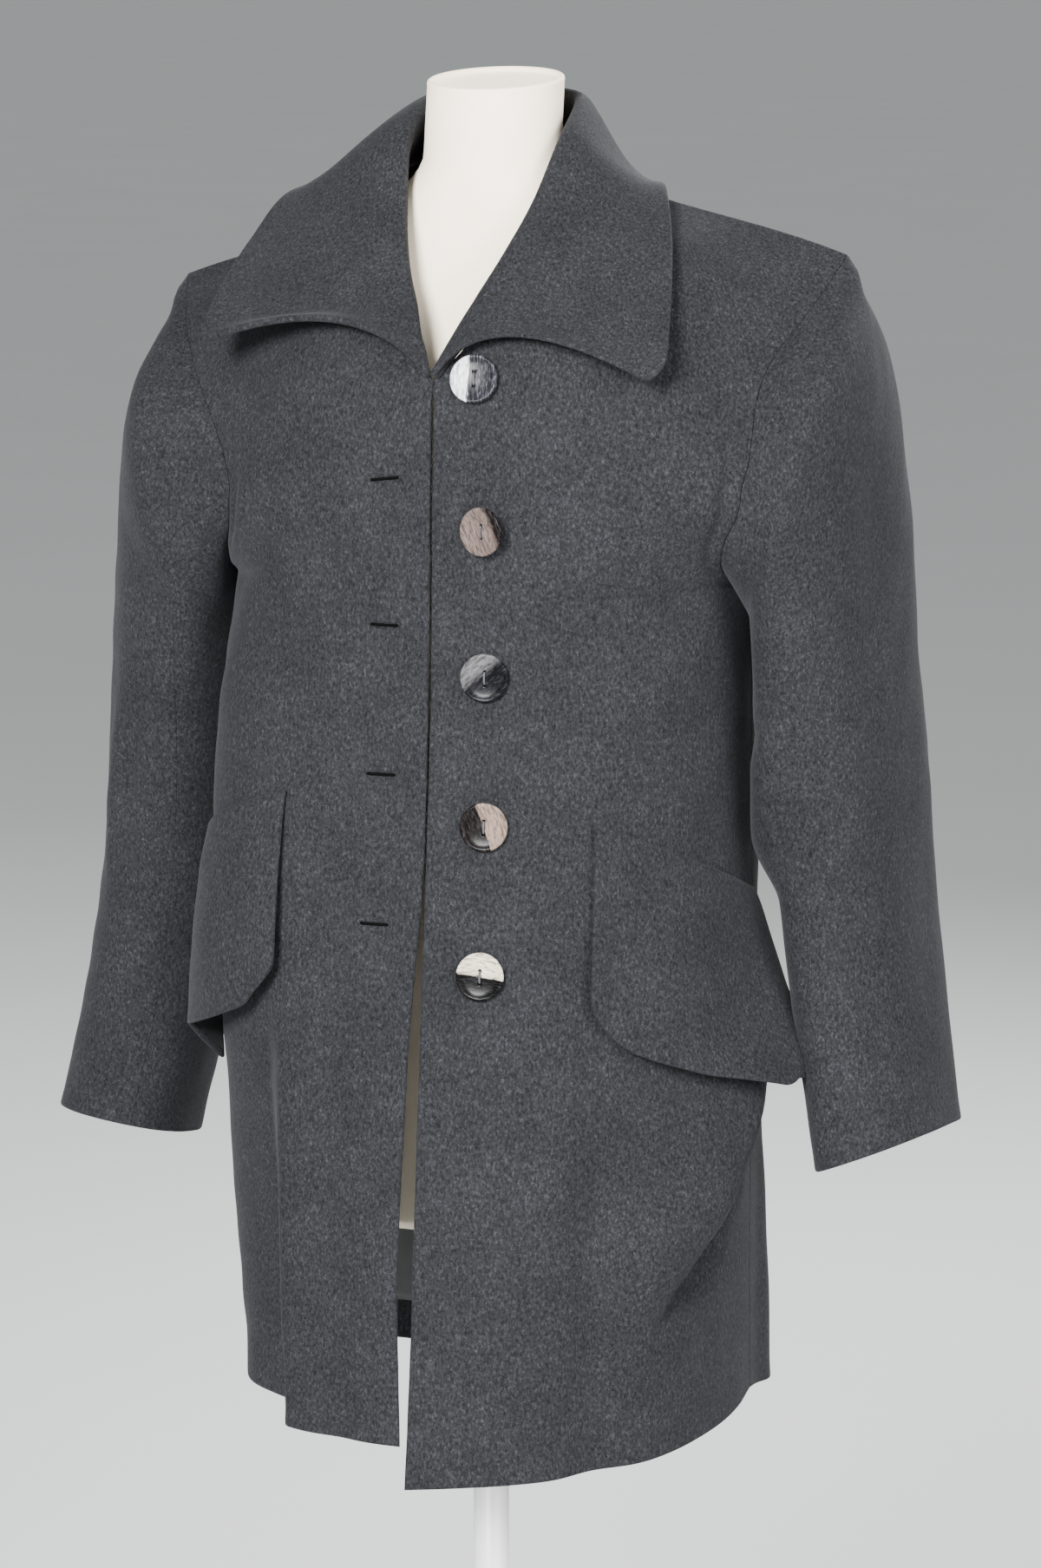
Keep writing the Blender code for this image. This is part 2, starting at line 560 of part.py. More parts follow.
def collar_grid(columns=COLLAR_COLUMNS, stand_rows=STAND_ROWS, fall_rows=FALL_ROWS):
    """Collar columns from the left front end round the neck to the right front end."""
    stand_places = np.linspace(0.0, 1.0, stand_rows + 1)
    fall_places = np.linspace(0.0, 1.0, fall_rows + 1) ** 1.15
    mirrored = [row._replace(seam_x=-row.seam_x, roll_x=-row.roll_x, edge_x=-row.edge_x)
                for row in COLLAR_RIGHT[-2::-1]]
    stations = list(COLLAR_LEFT) + mirrored
    keys = np.linspace(0.0, 2.0, len(stations))
    places = np.linspace(0.0, 2.0, 2 * columns + 1)
    values = {}
    for name in Collar._fields:
        values[name] = track(keys, [getattr(row, name) for row in stations], places)
    rows = []
    for i in range(len(places)):
        seam, roll, edge = (np.array([values[part + axis][i] for axis in ("_x", "_y", "_z")])
                            for part in ("seam", "roll", "edge"))
        rows.append(collar_section(seam, roll, edge, values["swell"][i], values["arch"][i],
                                   stand_places, fall_places))
    return np.array(rows)


def solid_from_grid(name, outer, inner, looks, trim, gap=SEAM_GAP):
    """A closed sheet between two grids of points. trim pulls in its first and last column and row."""
    outer = trimmed(outer, trim, gap / 2.0)
    inner = trimmed(inner, trim, gap / 2.0)
    rows, columns = outer.shape[:2]
    mesh = bmesh.new()
    bmesh.ops.create_grid(mesh, x_segments=columns - 1, y_segments=rows - 1, size=1.0)
    extruded = bmesh.ops.extrude_face_region(mesh, geom=mesh.faces[:])
    moved = {item for item in extruded["geom"] if isinstance(item, bmesh.types.BMVert)}
    for vertex in mesh.verts:
        i = round((vertex.co.y + 1.0) / 2.0 * (rows - 1))
        j = round((vertex.co.x + 1.0) / 2.0 * (columns - 1))
        vertex.co = inner[i, j] if vertex in moved else outer[i, j]
    return finish(name, mesh, looks)


def trimmed(grid, trim, half):
    """Grid with its border pulled in by half a seam gap where trim says so."""
    grid = grid.copy()
    left, right, bottom, top = trim
    if left:
        grid[:, 0] += unit(grid[:, 1] - grid[:, 0]) * half
    if right:
        grid[:, -1] += unit(grid[:, -2] - grid[:, -1]) * half
    if bottom:
        grid[0] += unit(grid[1] - grid[0]) * half
    if top:
        grid[-1] += unit(grid[-2] - grid[-1]) * half
    return grid


def finish(name, mesh, looks):
    """Object from a mesh, with faces outward and its own material."""
    bmesh.ops.recalc_face_normals(mesh, faces=mesh.faces[:])
    if mesh.calc_volume(signed=True) < 0.0:
        bmesh.ops.reverse_faces(mesh, faces=mesh.faces[:])
    data = bpy.data.meshes.new(name)
    mesh.to_mesh(data)
    mesh.free()
    item = bpy.data.objects.new(name, data)
    part_collection().objects.link(item)
    item.data.materials.append(material(name, looks))
    for face in item.data.polygons:
        face.use_smooth = True
    return item


def part_collection():
    """Collection that holds the part."""
    found = bpy.data.collections.get(PART_NAME)
    if found is None:
        found = bpy.data.collections.new(PART_NAME)
        bpy.context.scene.collection.children.link(found)
    return found


def cutter_collection():
    """Collection that holds the cutters."""
    found = bpy.data.collections.get("cutters")
    if found is None:
        found = bpy.data.collections.new("cutters")
        bpy.context.scene.collection.children.link(found)
    return found


def material(name, looks):
    """Material of one object."""
    red, green, blue, roughness = LOOKS[looks]
    made = bpy.data.materials.new(name + "_" + looks)
    made.use_nodes = True
    shader = made.node_tree.nodes["Principled BSDF"]
    shader.inputs["Base Color"].default_value = (red, green, blue, 1.0)
    shader.inputs["Roughness"].default_value = roughness
    made.diffuse_color = (red, green, blue, 1.0)
    return made


def build_body():
    """Fronts, back and the lining strip that shows at the back of the skirt."""
    grids = body_grids()
    for name, (grid, normals) in grids.items():
        trim = (True, True, False, True) if name == "back" else (False, True, False, True)
        solid_from_grid(name, grid, grid - normals * CLOTH_WALL, "wool", trim)
    back, normals = grids["back"]
    first = (back.shape[1] - 1) // 2 - LINING_COLUMNS
    last = (back.shape[1] - 1) // 2 + LINING_COLUMNS
    part = back[:LINING_ROWS + 1, first:last + 1].copy()
    part_normals = normals[:LINING_ROWS + 1, first:last + 1]
    part[0] = part[0] * 0.6 + part[1] * 0.4
    gap = CLOTH_WALL + SEAM_GAP
    outer = part - part_normals * gap
    inner = part - part_normals * (gap + LINING_WALL)
    solid_from_grid("lining_back", outer, inner, "lining", (False, False, False, False))
    return grids


def armhole_points(side, grids):
    """Closed armhole of one side from the underarm over the front to the shoulder and back."""
    front = grids["front_left" if side is LEFT else "front_right"][0]
    back = grids["back"][0]
    edge = 0 if side is LEFT else -1
    forward = front[LOW_ROWS:, -1]
    rear = back[LOW_ROWS:, edge][::-1]
    return np.concatenate([forward[:-1], rear[:-1]])


def build_sleeves(grids):
    """Front and back half of each two-piece sleeve."""
    for side, name in ((LEFT, "left"), (RIGHT, "right")):
        grid = sleeve_grid(side, armhole_points(side, grids))
        normals = ring_normals(grid, -side.sign)
        inner = grid.copy()
        inner[0] = grid[0] - ring_inward(grid[0]) * CLOTH_WALL
        grid[1:] += normals[1:] * CLOTH_WALL
        sides = grid.shape[1]
        count = sides - SLEEVE_SEAM_BACK + SLEEVE_SEAM_FRONT + 1
        forward = [(SLEEVE_SEAM_BACK + i) % sides for i in range(count)]
        outward = list(range(SLEEVE_SEAM_FRONT, SLEEVE_SEAM_BACK + 1))
        trim = (True, True, False, False)
        gap = SEAM_GAP * 3.0
        solid_from_grid("sleeve_top_" + name, grid[:, outward], inner[:, outward], "wool", trim, gap)
        solid_from_grid("sleeve_under_" + name, grid[:, forward], inner[:, forward], "wool", trim, gap)


def ring_inward(ring):
    """Outward directions of a ring seen from its middle, with the slope along the arm left out."""
    middle = ring.mean(axis=0)
    return unit(ring - middle)


def build_collar():
    """Collar with its stand, roll and fall."""
    grid = collar_grid()
    normals = surface_normals(grid, 1.0)
    solid_from_grid("collar", grid, grid + normals * COLLAR_WALL, "wool", (False, False, False, False))


def lathe(name, profile, sides, looks):
    """Solid of revolution about z from a profile of radius and height pairs."""
    mesh = bmesh.new()
    vertices = [mesh.verts.new((radius, 0.0, height)) for radius, height in profile]
    edges = [mesh.edges.new(pair) for pair in zip(vertices, vertices[1:])]
    bmesh.ops.spin(mesh, geom=vertices + edges, cent=(0.0, 0.0, 0.0), axis=(0.0, 0.0, 1.0),
                   angle=2.0 * math.pi, steps=sides, use_merge=True)
    bmesh.ops.remove_doubles(mesh, verts=mesh.verts[:], dist=0.00001)
    return finish(name, mesh, looks)


def build_buttons(grids):
    """Dished two-hole buttons on the left front."""
    radius = BUTTON_DIAMETER / 2.0
    high = BUTTON_THICKNESS
    profile = ((0.0, 0.0), (radius * 0.80, 0.0), (radius * 0.97, high * 0.30), (radius, high * 0.62),
               (radius * 0.95, high), (radius * 0.84, high * 0.93), (radius * 0.55, high * 0.70),
               (0.0, high * 0.62))
    for number, inward in enumerate(BUTTON_FROM_EDGE):
        height = BUTTON_LOWEST_Z + BUTTON_SPACING * number
        point, normal = surface_at(grids["front_left"], height, inward)
        name = "button_" + str(len(BUTTON_FROM_EDGE) - number)
        button = lathe(name, profile, BUTTON_SIDES, "shell")
        cut_holes(button)
        turn = Vector(normal).to_track_quat("Z", "X").to_matrix().to_4x4()
        lean = BUTTON_LEAN if name == BUTTON_LEANING else 0.0
        lift = SEAM_GAP * 2.5 + radius * 0.80 * math.sin(lean)
        place = Matrix.Translation(Vector(point) + Vector(normal) * lift)
        button.data.transform(place @ turn @ Matrix.Rotation(-lean, 4, "X"))


def surface_at(sheet, height, inward):
    """Point and normal of a front at a height, a distance in from its edge."""
    grid, normals = sheet
    heights = grid[:, 0, 2]
    i = int(np.clip(np.searchsorted(heights, height) - 1, 0, len(heights) - 2))
    t = (height - heights[i]) / (heights[i + 1] - heights[i])
    row = grid[i] * (1.0 - t) + grid[i + 1] * t
    row_normals = normals[i] * (1.0 - t) + normals[i + 1] * t
    lengths = np.concatenate([[0.0], np.cumsum(np.linalg.norm(np.diff(row, axis=0), axis=1))])
    point = np.array([np.interp(inward, lengths, row[:, axis]) for axis in range(3)])
    normal = np.array([np.interp(inward, lengths, row_normals[:, axis]) for axis in range(3)])
    return point, unit(normal)


def cut_holes(button):
    """Two sewing holes through a button."""
    mesh = bmesh.new()
    for offset in (-BUTTON_HOLE_SPACING / 2.0, BUTTON_HOLE_SPACING / 2.0):
        place = Matrix.Translation((offset, 0.0, BUTTON_THICKNESS / 2.0))
        bmesh.ops.create_cone(mesh, cap_ends=True, segments=10, radius1=BUTTON_HOLE_DIAMETER / 2.0,
                              radius2=BUTTON_HOLE_DIAMETER / 2.0, depth=BUTTON_THICKNESS * 3.0,
                              matrix=place)
    data = bpy.data.meshes.new(button.name + "_holes")
    mesh.to_mesh(data)
    mesh.free()
    cutter = bpy.data.objects.new(button.name + "_holes", data)
    cutter_collection().objects.link(cutter)
    cutter.hide_render = True
    cutter.display_type = "WIRE"
    change = button.modifiers.new("holes", "BOOLEAN")
    change.operation = "DIFFERENCE"
    change.solver = "EXACT"
    change.object = cutter
    bpy.context.view_layer.update()
    bake(button)
    bpy.data.objects.remove(cutter, do_unlink=True)


def bake(item):
    """Replace a mesh by its result after modifiers."""
    graph = bpy.context.evaluated_depsgraph_get()
    data = bpy.data.meshes.new_from_object(item.evaluated_get(graph))
    item.modifiers.clear()
    item.data = data


def build_flaps(grids):
    """Pocket flaps made from the points of the fronts and moved out."""
    for flap, side, name in ((FLAP_LEFT, LEFT, "left"), (FLAP_RIGHT, RIGHT, "right")):
        grid, normals = flap_grid(flap, side, grids["front_" + name])
        solid_from_grid("pocket_flap_" + name, grid, grid - normals * FLAP_WALL, "wool",
                        (False, False, False, False))


def flap_grid(flap, side, sheet, rows=FLAP_ROWS):
    """Points and normals of a flap, bottom row first, front column first."""
    grid, normals = sheet
    count = grid.shape[1] - 1
    inside = [k / count for k in range(count + 1) if flap.front_across < k / count < flap.back_across]
    places = [flap.front_across] + inside + [flap.back_across]
    columns = len(places) - 1
    points = np.zeros((rows + 1, columns + 1, 3))
    outward = np.zeros_like(points)
    for i in range(rows + 1):
        for j in range(columns + 1):
            across = places[j]
            along = (across - flap.front_across) / (flap.back_across - flap.front_across)
            down = 1.0 - i / rows
            round_front = 0.020 * max(0.0, 1.0 - along * 4.5) ** 2 * float(ease(down))
            top = flap.front_top + (flap.back_top - flap.front_top) * along
            height = top - flap.drop * down + round_front * down
            place = across * count
            k = int(min(place, count - 1))
            t = place - k
            line = grid[:, k] * (1.0 - t) + grid[:, k + 1] * t
            line_normals = normals[:, k] * (1.0 - t) + normals[:, k + 1] * t
            base = np.array([np.interp(height, line[:, 2], line[:, axis]) for axis in range(3)])
            face = np.array([np.interp(height, line[:, 2], line_normals[:, axis]) for axis in range(3)])
            face = unit(face)
            lift = flap.lift_front + (flap.lift_back - flap.lift_front) * along
            stand_off = FLAP_WALL + SEAM_GAP * 1.5 + lift * down ** 0.8
            points[i, j] = base + face * stand_off
            outward[i, j] = face
    return points, outward


def build_form():
    """Dress form as a smooth stack of rings with a tilted, slightly hollowed neck top."""
    angles = np.linspace(0.0, 2.0 * math.pi, FORM_SIDES + 1)[:-1]
    mesh = bmesh.new()
    rings = []
    for section in FORM_SECTIONS:
        if 1.35 < section.z < 1.44:
            section = section._replace(z=section.z + SHOULDER_LIFT)
        rings.append([mesh.verts.new(point) for point in form_ring(section, angles)])
    last = FORM_SECTIONS[-1]
    middle_y = (last.front_y + last.back_y) / 2.0
    for grow, rise in ((1.0, 0.0), (0.94, 0.003), (0.86, 0.001), (0.40, -0.002)):
        ring = []
        for x, y, z in form_ring(last, angles):
            y_local = (y - middle_y) * grow
            height = NECK_TOP_Z + rise + y_local * math.tan(NECK_TILT)
            ring.append(mesh.verts.new((x * grow, y_local + middle_y + 0.004, height)))
        rings.append(ring)
    for low, high in zip(rings, rings[1:]):
        bridge(mesh, low, high)
    mesh.faces.new(rings[0][::-1])
    mesh.faces.new(rings[-1])
    finish("dress_form", mesh, "form_cover")


def bridge(mesh, low, high):
    """Faces between two rings of the same count."""
    count = len(low)
    for i in range(count):
        k = (i + 1) % count
        mesh.faces.new((low[i], low[k], high[k], high[i]))


def form_ring(section, angles):
    """Points of one section of the dress form."""
    sine = np.sin(angles)
    cosine = np.cos(angles)
    x = section.half_width * np.sign(sine) * np.abs(sine) ** section.square
    middle = (section.front_y + section.back_y) / 2.0
    half = (section.back_y - section.front_y) / 2.0
    y = middle - half * np.sign(cosine) * np.abs(cosine) ** section.square
    return [(float(a), float(b), section.z) for a, b in zip(x, y)]


def build_stand():
    """Pole and round base."""
    rim = 0.003
    radius = BASE_DIAMETER / 2.0
    lathe("stand_base", ((0.0, 0.0), (radius - 0.001, 0.0), (radius, 0.001), (radius, BASE_THICKNESS - rim),
                         (radius - rim, BASE_THICKNESS), (0.0, BASE_THICKNESS)), ROUND_SIDES, "stand")
    pole = POLE_DIAMETER / 2.0
    low = BASE_THICKNESS + SEAM_GAP
    high = FORM_BOTTOM_Z - SEAM_GAP
    lathe("stand_pole", ((0.0, low), (pole, low), (pole, high), (0.0, high)), 24, "stand")


def main():
    """Build every piece."""
    for item in list(bpy.data.objects):
        bpy.data.objects.remove(item, do_unlink=True)
    grids = build_body()
    build_sleeves(grids)
    build_collar()
    build_buttons(grids)
    build_flaps(grids)
    build_form()
    build_stand()


main()
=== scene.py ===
"""Wool coat hanging open on a limbless dress form: cloth, buttons, form, stand and studio."""
import math
from collections import namedtuple

import bmesh
import bpy
import numpy as np
from bpy.props import FloatProperty, FloatVectorProperty, IntProperty, PointerProperty
from mathutils import Matrix, Vector


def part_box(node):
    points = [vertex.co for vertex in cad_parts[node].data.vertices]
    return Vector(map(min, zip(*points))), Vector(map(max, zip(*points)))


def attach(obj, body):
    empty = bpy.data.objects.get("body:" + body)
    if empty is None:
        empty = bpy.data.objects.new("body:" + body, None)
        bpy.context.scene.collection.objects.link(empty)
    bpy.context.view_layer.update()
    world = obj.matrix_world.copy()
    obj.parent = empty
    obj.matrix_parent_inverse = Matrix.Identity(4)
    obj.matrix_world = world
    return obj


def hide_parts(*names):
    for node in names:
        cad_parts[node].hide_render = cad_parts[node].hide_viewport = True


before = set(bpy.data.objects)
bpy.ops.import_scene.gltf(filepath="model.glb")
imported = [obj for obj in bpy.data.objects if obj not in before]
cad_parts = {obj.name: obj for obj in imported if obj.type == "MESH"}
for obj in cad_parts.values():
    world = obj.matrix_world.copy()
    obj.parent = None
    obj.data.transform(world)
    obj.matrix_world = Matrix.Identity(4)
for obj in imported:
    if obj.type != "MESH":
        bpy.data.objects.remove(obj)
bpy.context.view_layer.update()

bl_info = {
    "name": "Wool coat on a dress form",
    "version": (1, 0, 0),
    "blender": (4, 5, 0),
    "location": "3D View > Sidebar > Coat",
    "description": "Builds the cloth, buttons, form, stand and studio of a wool coat on a dress form",
    "category": "Add Mesh",
}

# Distances from a border, in metres, at which a cloth grid gets extra rows or columns
TURNED_STEPS = (0.0, 0.0004, 0.0010, 0.0018, 0.0028, 0.0045, 0.0070, 0.0100, 0.0140, 0.0190)
SEAM_STEPS = (0.0, 0.0005, 0.0011, 0.0019, 0.0030, 0.0050)
NO_STEPS = (0.0,)

# Share of the seam gap by which each finished piece is drawn in at its seams
SEAM_SHARE = 0.2

# How a border is rounded: radius in metres, and the share of the wall that is rounded away
ROUNDED = {"turned": (0.0022, 0.50), "seam": (0.0016, 0.30), "tight": (0.0012, 0.10)}

# The front edges hang a little closer than the solids, and the neckline reaches in under the collar.
EDGE_CLOSER = 0.0006
NECKLINE_UNDER = 0.0016

# Lengths that turn places over a front, over its part above the underarm, and along and round
# a sleeve into metres
ACROSS_LENGTH = 0.27
RISE_LENGTH = 0.60
HIGH_LENGTH = 0.27
SLEEVE_LENGTH = 0.60
SLEEVE_ROUND = 0.46

# Lengths of smaller pieces in metres, and how many even columns or rows they get
SHOULDER_LENGTH = 0.19
SHOULDER_COLUMNS = 62
NECK_COLUMNS = 24
SLEEVE_COLUMNS = 66
COLLAR_LENGTH = 0.62
COLLAR_COLUMNS = 150
FALL_LENGTH = 0.115
FALL_ROWS = 34
STAND_ROWS = 9
FLAP_LENGTH = 0.15
FLAP_COLUMNS = 44
FLAP_ROWS = 40

# First numbers of the uneven waves of each piece
WAVE_SEEDS = {"front_left": 11, "front_right": 23, "back": 37, "sleeve_left": 51, "sleeve_right": 67,
              "collar": 83}

# Heights of the hem at the side and at the middle of the back, and of the underarm
HEM_SIDE_Z = 0.600
HEM_BACK_Z = 0.578
UNDERARM_Z = 1.165

# Wool inside the lined pieces: columns of facing, rows of hem, depth of a sleeve hem in metres, and
# columns or rows round a flap
FACING_COLUMNS = len(TURNED_STEPS) + 22
HEM_ROWS = len(TURNED_STEPS) + 4
SLEEVE_HEM = 0.028
FLAP_TURNING = 5

# Turned edges: width of the thickening, and the share of it that stands out on the outer side
TURNED_WIDTH = 0.016
TURNED_OUTSIDE = 0.35

# Radii of the rounded corners of a flap and of the collar
FLAP_CORNER = 0.012
COLLAR_CORNER = 0.008

# Share of a piece's width over which its folds and creases die out toward a seam
SEAM_FADE = 0.08

# Buttons. Their distances from the front edge start with the lowest one.
BUTTON_SPACING = 0.1002
BUTTON_LOWEST_Z = 0.912
BUTTON_FROM_EDGE = (0.041, 0.040, 0.038, 0.037, 0.027)
BUTTON_THICK = 0.0042
BUTTON_HOLE_SPACING = 0.0080
BUTTON_HOLE_RADIUS = 0.0013
THREAD_RADIUS = 0.00075

# Buttonholes: how many, height over the button's line, length, half width and distance from the edge
BUTTONHOLES = 4
BUTTONHOLE_RAISE = 0.033
BUTTONHOLE_LENGTH = 0.022
BUTTONHOLE_HALF_WIDTH = 0.0022
BUTTONHOLE_FROM_EDGE = 0.021

# Dress form: how far its shoulders are raised toward the coat, and its slanted neck cap
SHOULDER_LIFT = 0.0060
NECK_TOP_Z = 1.502
NECK_TILT = math.radians(8.0)

# Camera: where it stands, where it looks, its lens and the width of its picture in millimetres
CAMERA_PLACE = (1.2404, -3.7510, 1.6457)
CAMERA_TARGET = (0.0195, 0.0063, 1.0200)
CAMERA_LENS = 132.8
CAMERA_WIDTH = 36.0

# Lights: name, where they stand and their size. All look at one point.
LIGHTS = (
    ("key_light", (-0.15, -4.3, 2.7), 1.3),
    ("fill_light", (3.2, -2.2, 1.9), 2.4),
    ("back_light", (0.8, 3.2, 3.0), 2.2),
)
LIGHT_TARGET = (0.0, 0.0, 1.05)
ROOM_COLOUR = (0.93, 0.96, 0.97, 1.0)
FLOOR_SIZE = 90.0

# Body below the underarm. A rise is 0 at the hem, 1 at the underarm and 2 at the shoulder.
Body = namedtuple("Body", "rise edge_x front_y side_x side_y back_y front_reach side_reach")
BODY_LEFT = (
    Body(0.00, -0.0030, -0.178, 0.183, 0.020, 0.155, 0.62, 0.60),
    Body(0.20, 0.0002, -0.172, 0.182, 0.020, 0.151, 0.62, 0.60),
    Body(0.45, 0.0012, -0.159, 0.183, 0.020, 0.143, 0.64, 0.60),
    Body(0.70, 0.0012, -0.142, 0.182, 0.020, 0.133, 0.66, 0.58),
    Body(0.85, 0.0012, -0.133, 0.181, 0.020, 0.131, 0.66, 0.56),
    Body(1.00, 0.0012, -0.128, 0.183, 0.020, 0.134, 0.62, 0.56),
)
BODY_RIGHT = (
    Body(0.00, -0.0080, -0.176, 0.174, 0.020, 0.155, 0.72, 0.62),
    Body(0.20, -0.0115, -0.170, 0.179, 0.020, 0.151, 0.72, 0.64),
    Body(0.45, -0.0080, -0.158, 0.185, 0.020, 0.143, 0.76, 0.70),
    Body(0.70, -0.0014, -0.142, 0.189, 0.020, 0.133, 0.83, 0.78),
    Body(0.85, -0.0012, -0.133, 0.188, 0.020, 0.131, 0.80, 0.72),
    Body(1.00, -0.0012, -0.128, 0.183, 0.020, 0.134, 0.62, 0.56),
)
# Front edge and neckline above the underarm, with the directions and lengths of the row's handles
Upper = namedtuple("Upper", "rise x y z out_y out_z out_reach in_x in_y in_z in_reach")
UPPER_FRONT = (
    Upper(1.00, 0.0012, -0.1280, 1.165, 0.00, 0.00, 0.113, 0.00, 1.00, 0.00, 0.083),
    Upper(1.25, 0.0012, -0.1265, 1.240, -0.02, 0.00, 0.085, 0.45, 0.88, -0.05, 0.045),
    Upper(1.50, 0.0012, -0.1230, 1.305, -0.04, -0.02, 0.075, 0.78, 0.60, -0.15, 0.045),
    Upper(1.60, 0.0180, -0.1130, 1.328, -0.12, -0.06, 0.065, 0.82, 0.52, -0.20, 0.050),
    Upper(1.70, 0.0360, -0.0980, 1.350, -0.20, -0.12, 0.060, 0.86, 0.44, -0.25, 0.055),
    Upper(1.80, 0.0560, -0.0720, 1.377, -0.25, -0.18, 0.058, 0.90, 0.34, -0.28, 0.058),
    Upper(1.90, 0.0710, -0.0320, 1.410, -0.12, -0.22, 0.058, 0.92, 0.20, -0.30, 0.058),
    Upper(2.00, 0.0760, 0.0200, 1.438, 0.10, -0.40, 0.052, 0.94, 0.00, -0.36, 0.060),
)
Armhole = namedtuple("Armhole", "rise x y z")
ARMHOLE_FRONT = (
    Armhole(1.0, 0.183, 0.020, 1.165),
    Armhole(1.1, 0.181, -0.018, 1.170),
    Armhole(1.2, 0.174, -0.050, 1.186),
    Armhole(1.3, 0.166, -0.070, 1.208),
    Armhole(1.4, 0.164, -0.077, 1.232),
    Armhole(1.5, 0.170, -0.073, 1.257),
    Armhole(1.6, 0.182, -0.063, 1.282),
    Armhole(1.7, 0.198, -0.047, 1.307),
    Armhole(1.8, 0.215, -0.025, 1.333),
    Armhole(1.9, 0.231, 0.004, 1.361),
    Armhole(2.0, 0.242, 0.036, 1.388),
)
ARMHOLE_BACK = (
    Armhole(1.0, 0.183, 0.020, 1.165),
    Armhole(1.1, 0.182, 0.058, 1.170),
    Armhole(1.2, 0.180, 0.088, 1.188),
    Armhole(1.3, 0.179, 0.107, 1.212),
    Armhole(1.4, 0.181, 0.116, 1.238),
    Armhole(1.5, 0.187, 0.118, 1.264),
    Armhole(1.6, 0.196, 0.114, 1.290),
    Armhole(1.7, 0.207, 0.104, 1.316),
    Armhole(1.8, 0.220, 0.087, 1.342),
    Armhole(1.9, 0.233, 0.063, 1.368),
    Armhole(2.0, 0.242, 0.036, 1.388),
)
# Middle of the back above the underarm, with the direction and lengths of the row's handles
Spine = namedtuple("Spine", "rise y z out_x out_y out_z out_reach in_reach")
SPINE = (
    Spine(1.00, 0.134, 1.165, 0.00, 1.00, 0.00, 0.072, 0.105),
    Spine(1.25, 0.137, 1.240, -0.45, 0.89, 0.00, 0.050, 0.088),
    Spine(1.50, 0.133, 1.310, -0.85, 0.52, 0.08, 0.050, 0.075),
    Spine(1.75, 0.119, 1.380, -0.93, 0.35, 0.20, 0.055, 0.075),
    Spine(2.00, 0.084, 1.450, -0.94, 0.10, 0.34, 0.060, 0.075),
)
# Back neckline from its corner to the middle: share of the way, x, y and z
NECK_BACK = ((0.0, 0.076, 0.020, 1.438), (0.4, 0.062, 0.055, 1.442), (1.0, 0.0, 0.084, 1.450))
NECK_CORNER = 0.68

# One side of the coat: height of the hem at the front edge, how far the hem sags toward the side,
# how far the shoulder hangs lower and in, and how far the chest drapes out over the front of the
# armhole and back.
Side = namedtuple("Side", "sign body hem_front_z hem_sag shoulder_drop shoulder_in armhole_out armhole_back")
LEFT = Side(1.0, BODY_LEFT, 0.5635, 0.013, 0.0000, 0.000, 0.033, 0.010)
RIGHT = Side(-1.0, BODY_RIGHT, 0.5930, 0.000, 0.0226, 0.007, 0.000, 0.000)

# Large folds: path from low to high over the piece, depth, width and how far they reach
Fold = namedtuple("Fold", "kind low_across high_across low_rise high_rise depth width reach")
FOLDS_RIGHT = (
    Fold("pleat", 0.29, 0.27, -0.40, 0.62, 0.052, 0.075, 0.62),
    Fold("dip", 0.14, 0.14, -0.20, 0.80, 0.004, 0.060, 0.00),
)
FOLDS_LEFT = (
    Fold("dip", 0.46, 0.40, -0.30, 0.72, 0.010, 0.080, 0.00),
    Fold("lap", 0.55, 1.14, 0.13, 0.60, 0.028, 0.032, 0.20),
)
FOLDS_BACK = (
    Fold("dip", 0.34, 0.40, -0.30, 0.75, 0.012, 0.060, 0.00),
    Fold("dip", 0.66, 0.60, -0.30, 0.75, 0.012, 0.060, 0.00),
    Fold("ridge", 0.09, 0.10, -0.40, 0.62, 0.010, 0.050, 0.00),
    Fold("ridge", 0.82, 0.80, -0.30, 0.60, 0.008, 0.060, 0.00),
)

# Soft creases: how high they stand, how wide they are, and their path over the piece
Crease = namedtuple("Crease", "height width path")
CREASES_LEFT = (
    Crease(-0.0022, 0.010, ((0.90, 1.52), (0.93, 1.42), (0.93, 1.28), (0.90, 1.16))),
    Crease(0.0016, 0.012, ((0.84, 1.50), (0.86, 1.40), (0.86, 1.28), (0.84, 1.14))),
    Crease(0.0014, 0.016, ((0.66, 1.10), (0.74, 0.98), (0.84, 0.90))),
    Crease(-0.0014, 0.014, ((0.50, 0.72), (0.52, 0.50), (0.55, 0.30))),
    Crease(0.0012, 0.012, ((0.06, 1.40), (0.05, 1.20), (0.05, 1.00))),
    Crease(-0.0012, 0.018, ((0.30, 0.98), (0.32, 0.80), (0.30, 0.62))),
)
CREASES_RIGHT = (
    Crease(-0.0020, 0.010, ((0.92, 1.46), (0.93, 1.34), (0.90, 1.20))),
    Crease(0.0016, 0.013, ((0.86, 1.44), (0.87, 1.32), (0.84, 1.18))),
    Crease(-0.0012, 0.016, ((0.56, 1.20), (0.62, 1.06), (0.72, 0.96))),
    Crease(-0.0010, 0.018, ((0.20, 0.90), (0.19, 0.70), (0.20, 0.45))),
)
